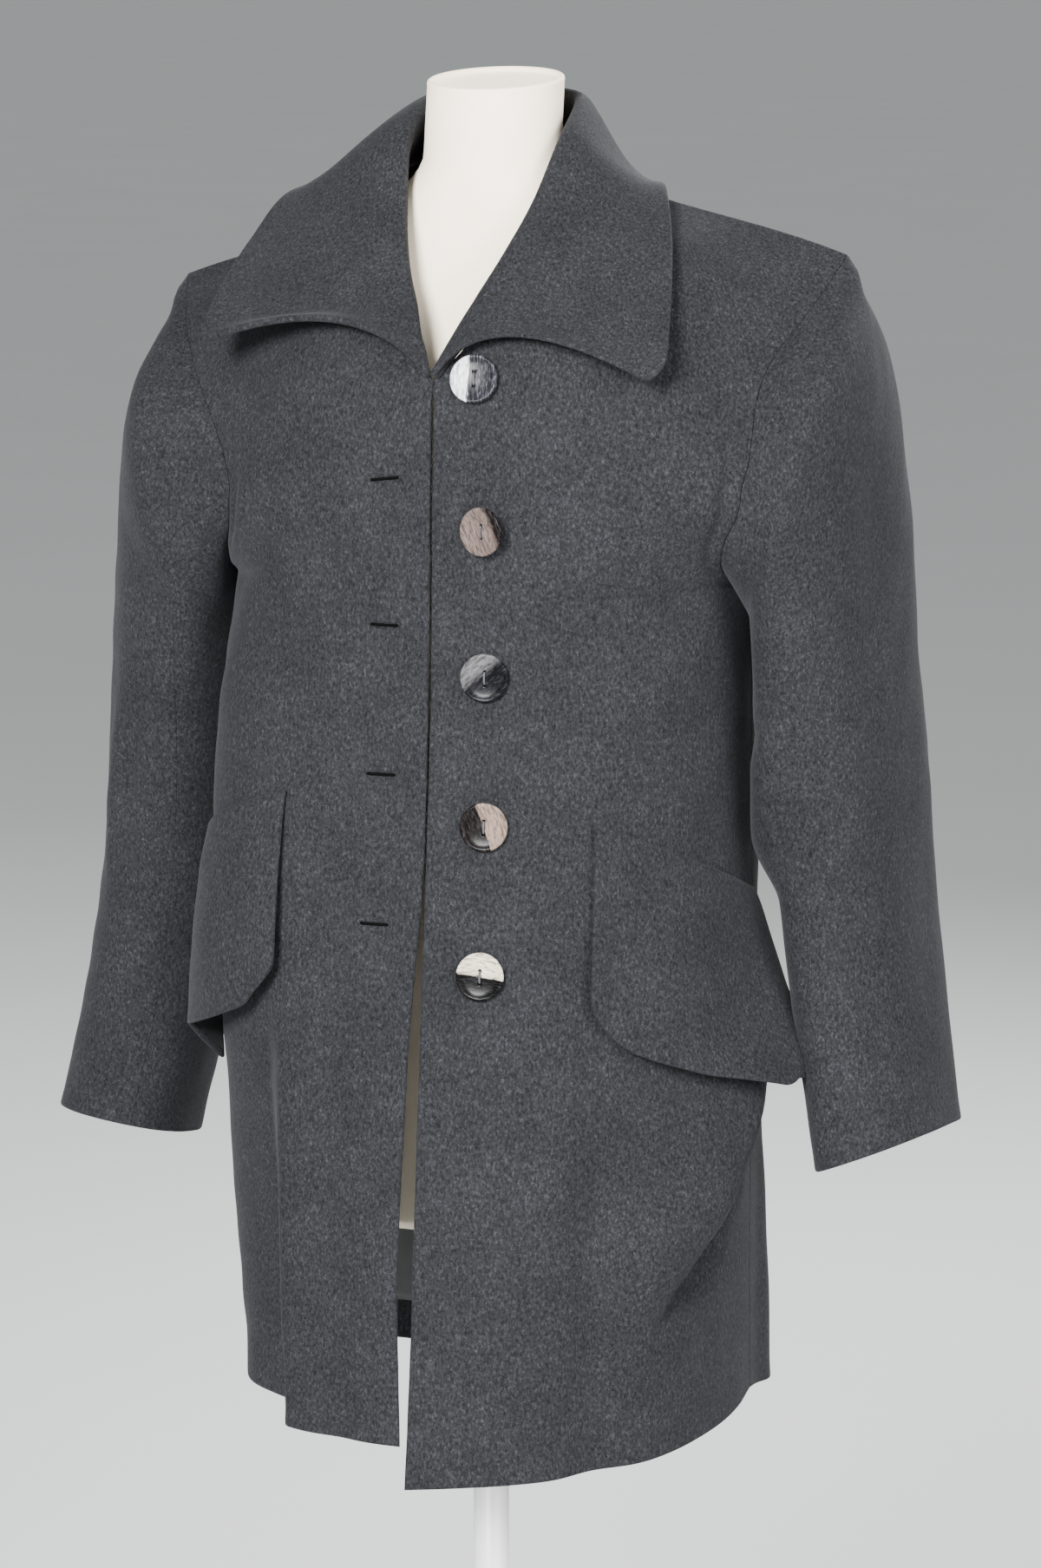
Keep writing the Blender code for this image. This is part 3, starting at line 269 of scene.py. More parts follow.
CREASES_BACK = (
    Crease(-0.0024, 0.014, ((0.05, 1.42), (0.06, 1.28), (0.08, 1.14))),
    Crease(-0.0024, 0.014, ((0.95, 1.40), (0.94, 1.26), (0.92, 1.14))),
    Crease(0.0018, 0.016, ((0.10, 1.38), (0.11, 1.24), (0.13, 1.08))),
    Crease(0.0018, 0.016, ((0.90, 1.36), (0.89, 1.22), (0.86, 1.06))),
    Crease(-0.0016, 0.020, ((0.30, 1.10), (0.40, 1.02), (0.50, 1.00), (0.60, 1.03), (0.69, 1.09))),
    Crease(0.0016, 0.018, ((0.34, 0.94), (0.50, 0.90), (0.65, 0.95))),
    Crease(-0.0012, 0.018, ((0.50, 0.80), (0.51, 0.50), (0.50, 0.20))),
)
# Sleeve creases: path over the turn around the arm in whole turns, and the way down to the cuff
CREASES_SLEEVE_LEFT = (
    Crease(-0.0035, 0.013, ((0.20, 0.40), (0.28, 0.47), (0.36, 0.50))),
    Crease(0.0030, 0.012, ((0.22, 0.45), (0.30, 0.52), (0.40, 0.55))),
    Crease(-0.0030, 0.012, ((0.16, 0.54), (0.25, 0.58), (0.32, 0.58))),
    Crease(-0.0022, 0.015, ((0.42, 0.16), (0.44, 0.34), (0.43, 0.52))),
    Crease(0.0022, 0.016, ((0.30, 0.62), (0.31, 0.78), (0.30, 0.92))),
    Crease(-0.0030, 0.012, ((0.06, 0.22), (0.12, 0.30), (0.18, 0.34))),
    Crease(-0.0030, 0.012, ((0.62, 0.42), (0.70, 0.46), (0.80, 0.44))),
    Crease(0.0025, 0.012, ((0.62, 0.47), (0.71, 0.51), (0.80, 0.49))),
    Crease(-0.0025, 0.012, ((0.60, 0.55), (0.70, 0.57), (0.78, 0.55))),
)
CREASES_SLEEVE_RIGHT = (
    Crease(-0.0035, 0.013, ((0.24, 0.36), (0.30, 0.46), (0.31, 0.60), (0.30, 0.70))),
    Crease(0.0028, 0.012, ((0.29, 0.38), (0.35, 0.47), (0.37, 0.60), (0.36, 0.70))),
    Crease(-0.0028, 0.012, ((0.14, 0.52), (0.20, 0.55), (0.27, 0.54))),
    Crease(0.0020, 0.016, ((0.42, 0.20), (0.44, 0.40), (0.43, 0.60))),
    Crease(-0.0026, 0.012, ((0.05, 0.22), (0.12, 0.28), (0.19, 0.32))),
    Crease(-0.0030, 0.012, ((0.62, 0.40), (0.70, 0.45), (0.80, 0.42))),
    Crease(0.0025, 0.012, ((0.62, 0.45), (0.71, 0.50), (0.80, 0.47))),
)

# Sleeve rings below the armhole: inner and outer points, depth, turn and squareness
Ring = namedtuple("Ring", "inner_x inner_z outer_x outer_z middle_y half_depth turn square tilt",
                  defaults=(0.0,))
SLEEVE_LEFT = (
    Ring(0.1905, 1.132, 0.2620, 1.335, 0.026, 0.096, 0.00, 0.92),
    Ring(0.1915, 1.070, 0.2730, 1.250, 0.036, 0.088, 0.06, 0.90),
    Ring(0.1920, 0.985, 0.2780, 1.105, 0.044, 0.081, 0.16, 0.88),
    Ring(0.2130, 0.940, 0.2830, 1.035, 0.046, 0.077, 0.18, 0.88),
    Ring(0.2215, 0.870, 0.2910, 0.935, 0.048, 0.072, 0.20, 0.88),
    Ring(0.2385, 0.759, 0.3110, 0.789, 0.044, 0.065, 0.22, 0.90),
)
SLEEVE_RIGHT = (
    Ring(0.1905, 1.122, 0.2500, 1.313, 0.026, 0.096, 0.00, 0.92),
    Ring(0.1935, 1.060, 0.2750, 1.225, 0.040, 0.087, 0.04, 0.90),
    Ring(0.2000, 0.980, 0.2890, 1.075, 0.050, 0.080, 0.08, 0.88),
    Ring(0.2150, 0.870, 0.3030, 0.930, 0.052, 0.073, 0.10, 0.88),
    Ring(0.2430, 0.749, 0.3330, 0.764, 0.046, 0.065, 0.10, 0.80, 0.17),
)
SLEEVE_SEAMS = (0.2, 0.7)
SLEEVE_RING_SIDES = 20

# Collar stations from the front to the middle of the back: seam and roll line on both sides, then
# the outer edge, the swell over the roll and the arch of the fall on each side
Collar = namedtuple("Collar", "seam_x seam_y seam_z roll_x roll_y roll_z edge_x edge_y edge_z swell arch")
COLLAR_NECK = (
    (0.0045, -0.1225, 1.3105, 0.0050, -0.1280, 1.315),
    (0.0330, -0.1020, 1.3512, 0.0220, -0.0990, 1.357),
    (0.0560, -0.0740, 1.3800, 0.0350, -0.0760, 1.386),
    (0.0700, -0.0330, 1.4138, 0.0470, -0.0460, 1.422),
    (0.0740, 0.0200, 1.4402, 0.0560, -0.0060, 1.470),
    (0.0610, 0.0560, 1.447, 0.0500, 0.0440, 1.490),
    (0.0000, 0.0850, 1.455, 0.0000, 0.0700, 1.495),
)
COLLAR_FALL_LEFT = (
    (0.1480, -0.1130, 1.310, 0.030, 0.038),
    (0.1560, -0.1020, 1.325, 0.014, 0.012),
    (0.1520, -0.0800, 1.351, 0.014, 0.006),
    (0.1400, -0.0360, 1.391, 0.013, 0.005),
    (0.1150, 0.0280, 1.430, 0.008, 0.000),
    (0.0860, 0.1000, 1.416, 0.010, 0.000),
    (0.0000, 0.1400, 1.405, 0.011, 0.000),
)
COLLAR_FALL_RIGHT = (
    (0.1700, -0.1060, 1.328, 0.030, 0.034),
    (0.1730, -0.0880, 1.343, 0.013, 0.008),
    (0.1720, -0.0610, 1.362, 0.015, 0.008),
    (0.1660, -0.0180, 1.392, 0.017, 0.013),
    (0.1480, 0.0300, 1.422, 0.018, 0.013),
    (0.1060, 0.1000, 1.414, 0.016, 0.008),
    (0.0000, 0.1400, 1.405, 0.011, 0.000),
)

# Pocket flaps: places and heights of both upper corners, drop, how far the lower edge stands off in
# front and at the rear, sag, drop and turning in of the rear corner, and how far it may face back
Flap = namedtuple("Flap", "front_across back_across front_top back_top drop lift_front lift_back"
                  " sag rear_drop rear_in most_back")
FLAP_LEFT = Flap(0.37, 0.98, 1.016, 0.955, 0.143, 0.006, 0.029, 0.003, -0.040, 0.0, 0.25)
FLAP_RIGHT = Flap(0.27, 0.82, 1.030, 0.985, 0.140, 0.012, 0.024, 0.0, 0.022, 0.8, 1.0)

# Level sections of the dress form
Section = namedtuple("Section", "z half_width front_y back_y square")
FORM_SECTIONS = (
    Section(0.725, 0.150, -0.100, 0.105, 0.90),
    Section(0.733, 0.158, -0.108, 0.112, 0.90),
    Section(0.800, 0.164, -0.114, 0.120, 0.90),
    Section(0.880, 0.162, -0.112, 0.118, 0.92),
    Section(0.960, 0.144, -0.102, 0.100, 0.95),
    Section(1.040, 0.128, -0.095, 0.086, 0.98),
    Section(1.110, 0.133, -0.100, 0.092, 0.98),
    Section(1.180, 0.146, -0.110, 0.102, 0.96),
    Section(1.240, 0.154, -0.110, 0.106, 0.96),
    Section(1.300, 0.160, -0.093, 0.102, 0.96),
    Section(1.340, 0.158, -0.070, 0.090, 0.97),
    Section(1.362, 0.147, -0.055, 0.080, 0.98),
    Section(1.378, 0.129, -0.047, 0.073, 1.00),
    Section(1.391, 0.111, -0.042, 0.068, 1.00),
    Section(1.402, 0.095, -0.040, 0.064, 1.00),
    Section(1.412, 0.080, -0.039, 0.061, 1.00),
    Section(1.421, 0.068, -0.039, 0.059, 1.00),
    Section(1.433, 0.056, -0.038, 0.057, 1.00),
    Section(1.450, 0.049, -0.037, 0.055, 1.00),
    Section(1.475, 0.047, -0.037, 0.053, 1.00),
)
# Neck cap: how far each ring draws in, and how high it stands over the top of the neck
CAP_RINGS = ((1.0, -0.0010), (1.004, 0.0006), (0.996, 0.0022), (0.975, 0.0030), (0.950, 0.0028),
             (0.930, 0.0016), (0.915, 0.0002), (0.890, -0.0006), (0.700, -0.0016), (0.400, -0.0022),
             (0.100, -0.0024), (0.010, -0.0024))

# Flat cut of each cloth piece: width, length and area
Cut = namedtuple("Cut", "width length area")


def length_setting(name, description, default):
    """Length in metres."""
    return FloatProperty(name=name, description=description, default=default, unit="LENGTH")


def count_setting(name, description, default):
    """Number of rows or columns."""
    return IntProperty(name=name, description=description, default=default, min=10)


def colour_setting(name, description, default):
    """Colour of a finish."""
    return FloatVectorProperty(name=name, description=description, default=default, subtype="COLOR")


def power_setting(name, description, default):
    """Power of a light in watts."""
    return FloatProperty(name=name, description=description, default=default, unit="POWER")


class CoatCloth(bpy.types.PropertyGroup):
    """Thicknesses and fineness of the cloth"""

    wall: length_setting("Cloth", "Thickness of the wool", 0.0024)
    collar_wall: length_setting("Collar", "Thickness of the collar", 0.0030)
    flap_wall: length_setting("Flaps", "Thickness of the pocket flaps", 0.0030)
    lining_wall: length_setting("Lining", "Thickness of the lining strip", 0.0010)
    seam_gap: length_setting("Seam gap", "Gap between two pieces at a seam", 0.0003)
    turned_extra: length_setting("Turned edge", "Extra thickness of a turned edge", 0.0014)
    unevenness: length_setting("Unevenness", "Height of the slow waves of the cloth", 0.0007)
    columns: count_setting("Columns", "Columns of a front", 84)
    rows: count_setting("Rows", "Rows from the hem to the underarm", 104)
    high_rows: count_setting("High rows", "Rows from the underarm to the shoulder", 64)
    sleeve_rows: count_setting("Sleeve rows", "Rows of a sleeve", 104)


class CoatColours(bpy.types.PropertyGroup):
    """Colours of the finishes"""

    wool_dark: colour_setting("Wool, dark fibres", "Darkest fibres of the wool", (0.0042, 0.0044, 0.0050))
    wool_light: colour_setting("Wool, light fibres", "Lightest fibres of the wool",
                               (0.0362, 0.0372, 0.0418))
    lining: colour_setting("Lining", "Black lining", (0.006, 0.006, 0.007))
    form: colour_setting("Form", "Ivory cover of the form", (0.96, 0.845, 0.67))
    stand: colour_setting("Stand", "Paint of the pole and base", (0.62, 0.64, 0.62))
    floor: colour_setting("Floor", "Pale floor", (0.53, 0.542, 0.537))


class CoatStudio(bpy.types.PropertyGroup):
    """Strength of the studio lights"""

    key: power_setting("Key light", "Soft light from the upper front", 800.0)
    fill: power_setting("Fill light", "Soft light from the right", 260.0)
    back: power_setting("Back light", "Soft light from behind", 300.0)
    room: FloatProperty(name="Room light", description="Even light from all round", default=0.64)


def track(keys, values, where):
    """Smooth value at a place along a table, without overshooting its rows."""
    keys = np.asarray(keys, float)
    values = np.asarray(values, float)
    where = np.clip(np.asarray(where, float), keys[0], keys[-1])
    steps = np.diff(keys)
    slopes = np.diff(values) / steps
    tangents = np.zeros(len(keys))
    tangents[0] = slopes[0]
    tangents[-1] = slopes[-1]
    for i in range(1, len(keys) - 1):
        if slopes[i - 1] * slopes[i] > 0:
            tangents[i] = 2.0 * slopes[i - 1] * slopes[i] / (slopes[i - 1] + slopes[i])
    index = np.clip(np.searchsorted(keys, where, side="right") - 1, 0, len(keys) - 2)
    t = (where - keys[index]) / steps[index]
    rise = t * t * (3.0 - 2.0 * t)
    start = t * (1.0 - t) ** 2 * steps[index] * tangents[index]
    end = t * t * (t - 1.0) * steps[index] * tangents[index + 1]
    return values[index] * (1.0 - rise) + values[index + 1] * rise + start + end


def column(table, name, where):
    """Value of one named column of a table with a rise column."""
    return float(track([row.rise for row in table], [getattr(row, name) for row in table], where))


def values_of(table, names, where):
    """Values of several named columns of a table with a rise column."""
    return np.array([column(table, name, where) for name in names])


def between(where, keys, points):
    """Points at places along a list of points that stand at the given keys."""
    return np.array([np.interp(where, keys, points[:, axis]) for axis in range(3)]).T


def ease(value):
    """Smooth step from 0 to 1."""
    value = np.clip(value, 0.0, 1.0)
    return value * value * (3.0 - 2.0 * value)


def unit(vectors):
    """Vectors of length one along the last axis."""
    length = np.linalg.norm(vectors, axis=-1, keepdims=True)
    return vectors / np.maximum(length, 1e-9)


def sweep(start, start_hand, end_hand, end, places):
    """Points on the cubic curve between two ends and their two handles."""
    t = np.asarray(places, float)[:, None]
    s = 1.0 - t
    return s ** 3 * start + 3 * s * s * t * start_hand + 3 * s * t * t * end_hand + t ** 3 * end


def spread(length, count, start, end):
    """Places from 0 to 1, crowded at the given distances from the start and the end."""
    low = np.array(start) / length
    high = 1.0 - np.array(end)[::-1] / length
    middle = np.linspace(low[-1], high[0], count + 1)[1:-1]
    return np.concatenate([low, middle, high])


def body_rises(cloth):
    """Rise of every row of the body, hem to shoulder, and the number of the underarm row."""
    low = spread(RISE_LENGTH, cloth.rows, TURNED_STEPS, NO_STEPS)
    high = 1.0 + spread(HIGH_LENGTH, cloth.high_rows, NO_STEPS, SEAM_STEPS)
    return np.concatenate([low, high[1:]]), len(low) - 1


def shoulder_shift(side, points, rise):
    """Lower and narrow the upper rows toward the shoulder seam of the side that hangs lower."""
    amount = float(ease((rise - 1.1) / 0.9))
    shifted = points.copy()
    outward = np.clip((np.abs(points[:, 0]) - 0.06) / 0.12, 0.0, 1.0)
    shifted[:, 2] -= side.shoulder_drop * amount * ease(outward)
    shifted[:, 0] -= side.shoulder_in * amount * ease(outward)
    return shifted


def armhole_drape(side, rise):
    """How far the front of the armhole is carried out by the cloth of the chest."""
    amount = float(ease((rise - 1.14) / 0.26) * (1.0 - ease((rise - 1.46) / 0.34)))
    return np.array([side.armhole_out, side.armhole_back, 0.0]) * amount


def front_row(side, rise, places):
    """One row of a front, from its edge to the side seam or the armhole, as left-side points."""
    if rise <= 1.0:
        edge_z = side.hem_front_z + (UNDERARM_Z - side.hem_front_z) * rise
        seam_z = HEM_SIDE_Z + (UNDERARM_Z - HEM_SIDE_Z) * rise
        edge_x, front_y, front_reach = values_of(side.body, ("edge_x", "front_y", "front_reach"), rise)
        side_x, side_y, side_reach = values_of(side.body, ("side_x", "side_y", "side_reach"), rise)
        reach = front_reach * side_x
        lead = side_reach * (side_y - front_y)
        start = np.array([side.sign * edge_x, front_y, edge_z])
        end = np.array([side_x, side_y, seam_z])
        third = (seam_z - edge_z) / 3.0
        row = sweep(start, start + np.array([reach, 0.0, third]),
                    end - np.array([0.0, lead, third]), end, places)
        row[:, 2] -= side.hem_sag * (1.0 - rise) ** 3 * 4.0 * places ** 2 * (1.0 - places)
        return row
    values = {name: column(UPPER_FRONT, name, rise) for name in Upper._fields}
    start = np.array([values["x"], values["y"], values["z"]])
    end = values_of(ARMHOLE_FRONT, "xyz", rise) + armhole_drape(side, rise)
    out = unit(np.array([1.0, values["out_y"], values["out_z"]]))
    into = unit(np.array([values["in_x"], values["in_y"], values["in_z"]]))
    row = sweep(start, start + out * values["out_reach"], end - into * values["in_reach"], end, places)
    return shoulder_shift(side, row, rise)


def upper_back_row(rise, places):
    """Plain back row above the underarm."""
    start = values_of(ARMHOLE_BACK, "xyz", rise)
    y, z, out_reach, in_reach = values_of(SPINE, ("y", "z", "out_reach", "in_reach"), rise)
    end = np.array([0.0, y, z])
    out = unit(values_of(SPINE, ("out_x", "out_y", "out_z"), rise))
    return sweep(start, start + out * out_reach, end + np.array([in_reach, 0.0, 0.0]), end, places)


def half_back_row(side, rise, places):
    """One row of half the back as left-side points, from the side to the middle."""
    if rise <= 1.0:
        seam_z = HEM_SIDE_Z + (UNDERARM_Z - HEM_SIDE_Z) * rise
        middle_z = HEM_BACK_Z + (UNDERARM_Z - HEM_BACK_Z) * rise
        side_x, side_y, back_y = values_of(side.body, ("side_x", "side_y", "back_y"), rise)
        third = (middle_z - seam_z) / 3.0
        start = np.array([side_x, side_y, seam_z])
        end = np.array([0.0, back_y, middle_z])
        return sweep(start, start + np.array([0.0, 0.62 * (back_y - side_y), third]),
                     end + np.array([0.57 * side_x, 0.0, -third]), end, places)
    row = upper_back_row(rise, places)
    if rise > 1.6:
        row = row + float(ease((rise - 1.6) / 0.4)) * (top_row(places) - upper_back_row(2.0, places))
    return shoulder_shift(side, row, rise)


def top_row(places):
    """Shoulder seam from its tip to the neck, then the back neckline to the middle."""
    shoulder = places[places <= NECK_CORNER + 1e-9] / NECK_CORNER
    seam = front_row(LEFT, 2.0, np.clip(1.0 - shoulder, 0.0, 1.0))
    steps = (places[places > NECK_CORNER + 1e-9] - NECK_CORNER) / (1.0 - NECK_CORNER)
    keys = [row[0] for row in NECK_BACK]
    neck = np.array([track(keys, [row[i] for row in NECK_BACK], steps) for i in (1, 2, 3)]).T
    return np.concatenate([seam, neck])


def grid_of(row_maker, side, rises, places):
    """Points of a piece, a row for each rise."""
    grid = np.array([row_maker(side, float(rise), places) for rise in rises])
    grid[:, :, 0] *= side.sign
    return grid


def surface_normals(grid, facing):
    """Outward normals of a grid of points. facing is 1 or -1 for the winding of its columns."""
    return unit(np.cross(np.gradient(grid, axis=1), np.gradient(grid, axis=0))) * facing


def fold_shift(folds, across, rises, normals, ends):
    """Movement of every point out of the plain form. A pleat goes along y, the rest along the normals."""
    still = seam_fade(across, ends)
    shift = np.zeros(normals.shape)
    for fold in folds:
        depth = fold_depth(fold, across, rises) * still
        way = np.array([0.0, -1.0, 0.0]) if fold.kind == "pleat" else normals
        shift += depth[:, :, None] * way
    return shift


def fold_depth(fold, across, rises):
    """How far one fold stands out of the plain form at every row and column."""
    rise = np.asarray(rises, float)[:, None]
    place = np.asarray(across, float)[None, :]
    travel = np.clip((rise - fold.low_rise) / (fold.high_rise - fold.low_rise), 0.0, 1.0)
    line = fold.low_across + (fold.high_across - fold.low_across) * travel
    fade = 1.0 - ease((travel - 0.45) / 0.55)
    if fold.low_rise > 0.0:
        fade = fade * ease(travel / 0.35)
    offset = (place - line) / fold.width
    if fold.kind == "pleat":
        shape = -ease(offset) * (1.0 - ease((place - line - fold.width) / fold.reach))
    elif fold.kind == "lap":
        raised = np.exp(-(np.maximum(line - place, 0.0) / fold.reach) ** 2) * (1.0 - ease(offset))
        sunk = ease(offset) * (1.0 - ease((place - line - fold.width) / fold.reach))
        shape = raised - 0.6 * sunk
    elif fold.kind == "ridge":
        shape = np.exp(-offset ** 2)
    else:
        shape = -np.exp(-offset ** 2)
    return fold.depth * fade * shape


def seam_fade(across, ends):
    """Zero at the seams and one between them."""
    fade = np.ones(len(across))
    if ends[0]:
        fade = fade * ease(np.asarray(across) / SEAM_FADE)
    if ends[1]:
        fade = fade * ease((1.0 - np.asarray(across)) / SEAM_FADE)
    return fade[None, :]


def crease_relief(creases, across, down):
    """Height of soft creases at points given in metres across and along a piece."""
    relief = np.zeros(across.shape)
    for crease in creases:
        path = np.array(crease.path)
        steps = np.linspace(0.0, 1.0, len(path))
        fine = np.linspace(0.0, 1.0, 12)
        line = np.array([track(steps, path[:, 0], fine), track(steps, path[:, 1], fine)]).T
        nearest = np.full(across.shape, 1e9)
        along = np.zeros(across.shape)
        for i in range(len(line) - 1):
            way = line[i + 1] - line[i]
            t = ((across - line[i, 0]) * way[0] + (down - line[i, 1]) * way[1]) / max(way @ way, 1e-12)
            t = np.clip(t, 0.0, 1.0)
            distance = np.hypot(across - line[i, 0] - t * way[0], down - line[i, 1] - t * way[1])
            closer = distance < nearest
            nearest = np.where(closer, distance, nearest)
            along = np.where(closer, (i + t) / (len(line) - 1), along)
        fade = np.sin(np.clip(along, 0.04, 0.96) * math.pi) ** 0.7
        relief += crease.height * fade * np.exp(-(nearest / crease.width) ** 2)
    return relief


def in_metres(creases, across_length, down_length):
    """Creases with their paths in metres."""
    return [crease._replace(path=[(a * across_length, b * down_length) for a, b in crease.path])
            for crease in creases]


def waves(points, size, seed):
    """Slow uneven waves between about -1 and 1 over points in space."""
    random = np.random.RandomState(seed)
    total = np.zeros(points.shape[:-1])
    for _ in range(7):
        way = unit(random.normal(size=3)) * (2.0 * math.pi / size) * random.uniform(0.6, 1.7)
        total += np.sin(points @ way + random.uniform(0.0, 2.0 * math.pi))
    return total / 3.0


def uneven(points, cloth, sizes, fine_share, seed):
    """Relief of the cloth's wide and fine waves."""
    wide, fine = sizes
    relief = cloth.unevenness * waves(points, wide, seed)
    return relief + cloth.unevenness * fine_share * waves(points, fine, seed + 1)


def lengths_across(grid):
    """Distance of every point from the first and from the last column, along its row."""
    steps = np.linalg.norm(np.diff(grid, axis=1), axis=-1)
    start = np.concatenate([np.zeros((len(grid), 1)), np.cumsum(steps, axis=1)], axis=1)
    return start, start[:, -1:] - start


def lengths_along(grid):
    """Distance of every point from the first and from the last row, along its column."""
    start, end = lengths_across(grid.transpose(1, 0, 2))
    return start.T, end.T


def rounding(distance, radius, half):
    """How far a face is drawn in toward the middle of the cloth near a border."""
    t = np.clip(1.0 - distance / radius, 0.0, 1.0)
    return half * 0.88 * (1.0 - np.sqrt(1.0 - t * t))


def turned_shape(distance, extra):
    """Extra thickness near a turned edge: outer side, inner side."""
    pad = ease(1.0 - distance / TURNED_WIDTH)
    return extra * TURNED_OUTSIDE * pad, extra * pad


def shell(name, grid, normals, wall, borders, looks, lined=None, turned_extra=0.0):
    """A cloth shell with rounded borders. borders say turned, seam or tight for each side of the grid."""
    across = lengths_across(grid)
    along = lengths_along(grid)
    outer_extra = np.zeros(grid.shape[:2])
    inner_extra = np.zeros(grid.shape[:2])
    drawn = np.zeros(grid.shape[:2])
    for kind, distance in zip(borders, (across[0], across[1], along[0], along[1])):
        radius, share = ROUNDED[kind]
        half = wall * share
        if kind == "turned":
            out, into = turned_shape(distance, turned_extra)
            outer_extra = np.maximum(outer_extra, out)
            inner_extra = np.maximum(inner_extra, into)
            half += turned_extra * 0.6
        drawn = np.maximum(drawn, rounding(distance, radius, half))
    outer = grid + normals * (outer_extra - drawn)[:, :, None]
    inner = grid - normals * (wall + inner_extra - drawn)[:, :, None]
    return closed_sheet(name, outer, inner, looks, lined)


def closed_sheet(name, outer, inner, looks, lined=None):
    """A closed sheet between two grids. lined gives the inner rows and columns that are lining."""
    rows, columns = outer.shape[:2]
    mesh = bmesh.new()
    bmesh.ops.create_grid(mesh, x_segments=columns - 1, y_segments=rows - 1, size=1.0)
    extruded = bmesh.ops.extrude_face_region(mesh, geom=mesh.faces[:])
    moved = {item for item in extruded["geom"] if isinstance(item, bmesh.types.BMVert)}
    if lined is not None:
        for face in mesh.faces:
            if all(vertex in moved for vertex in face.verts):
                middle = face.calc_center_median()
                i = (middle.y + 1.0) / 2.0 * (rows - 1)
                j = (middle.x + 1.0) / 2.0 * (columns - 1)
                if lined[0] < i < lined[1] and lined[2] < j < lined[3]:
                    face.material_index = 1
    for vertex in mesh.verts:
        i = round((vertex.co.y + 1.0) / 2.0 * (rows - 1))
        j = round((vertex.co.x + 1.0) / 2.0 * (columns - 1))
        vertex.co = inner[i, j] if vertex in moved else outer[i, j]
    return finish_mesh(name, mesh, looks)


def finish_mesh(name, mesh, looks):
    """Object from a closed mesh, with its faces outward."""
    bmesh.ops.recalc_face_normals(mesh, faces=mesh.faces[:])
    if mesh.calc_volume(signed=True) < 0.0:
        bmesh.ops.reverse_faces(mesh, faces=mesh.faces[:])
    data = bpy.data.meshes.new(name)
    mesh.to_mesh(data)
    mesh.free()
    item = bpy.data.objects.new(name, data)
    bpy.context.scene.collection.objects.link(item)
    for look in looks:
        data.materials.append(look)
    for face in data.polygons:
        face.use_smooth = True
    return item


def cloth_piece(item, node):
    """Attach a finished cloth piece to the root and hide the node it stands for."""
    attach(item, "root")
    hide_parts(node)
    return item


def pulled_in(grid, sides, half):
    """Grid with its border pulled in by half a seam gap where sides says so."""
    grid = grid.copy()
    first, last, bottom, top = sides
    if first:
        grid[:, 0] += unit(grid[:, 1] - grid[:, 0]) * half
    if last:
        grid[:, -1] += unit(grid[:, -2] - grid[:, -1]) * half
    if bottom:
        grid[0] += unit(grid[1] - grid[0]) * half
    if top:
        grid[-1] += unit(grid[-2] - grid[-1]) * half
    return grid


def front_points(side, folds, creases, cloth, rises, places, seed):
    """Points of a front with its folds, creases and unevenness."""
    grid = grid_of(front_row, side, rises, places)
    normals = surface_normals(grid, side.sign)
    grid = grid + fold_shift(folds, places, rises, normals, (False, True))
    still = seam_fade(places, (False, True)) * ease((2.0 - rises) / 0.12)[:, None]
    across, rise = np.meshgrid(places * ACROSS_LENGTH, rises * RISE_LENGTH)
    relief = crease_relief(in_metres(creases, ACROSS_LENGTH, RISE_LENGTH), across, rise)
    relief += uneven(grid, cloth, (0.16, 0.05), 0.5, seed)
    grid = grid + normals * (relief * still)[:, :, None]
    near = 1.0 - ease(places / 0.10)
    grid[:, :, 0] -= side.sign * EDGE_CLOSER * near
    neckline = (ease((rises - 1.46) / 0.05) * (1.0 - ease((rises - 1.66) / 0.10)))[:, None, None]
    outward = unit(grid[:, :1] - grid[:, 2:3])
    return grid + outward * NECKLINE_UNDER * neckline * near[None, :, None]


def back_points(cloth, rises, places, seed):
    """Points of the back with its folds, creases and unevenness."""
    left_half = grid_of(half_back_row, LEFT, rises, places)
    right_half = grid_of(half_back_row, RIGHT, rises, places)
    back = np.concatenate([left_half, right_half[:, ::-1][:, 1:]], axis=1)
    coarse = np.concatenate([places * 0.5, 1.0 - places[::-1][1:] * 0.5])
    normals = surface_normals(back, 1.0)
    back = back + fold_shift(FOLDS_BACK, coarse, rises, normals, (True, True))
    still = seam_fade(coarse, (True, True)) * ease((2.0 - rises) / 0.12)[:, None]
    across, rise = np.meshgrid(coarse * 2.0 * ACROSS_LENGTH, rises * RISE_LENGTH)
    relief = crease_relief(in_metres(CREASES_BACK, 2.0 * ACROSS_LENGTH, RISE_LENGTH), across, rise)
    relief += uneven(back, cloth, (0.18, 0.06), 0.5, seed)
    return back + normals * (relief * still)[:, :, None]


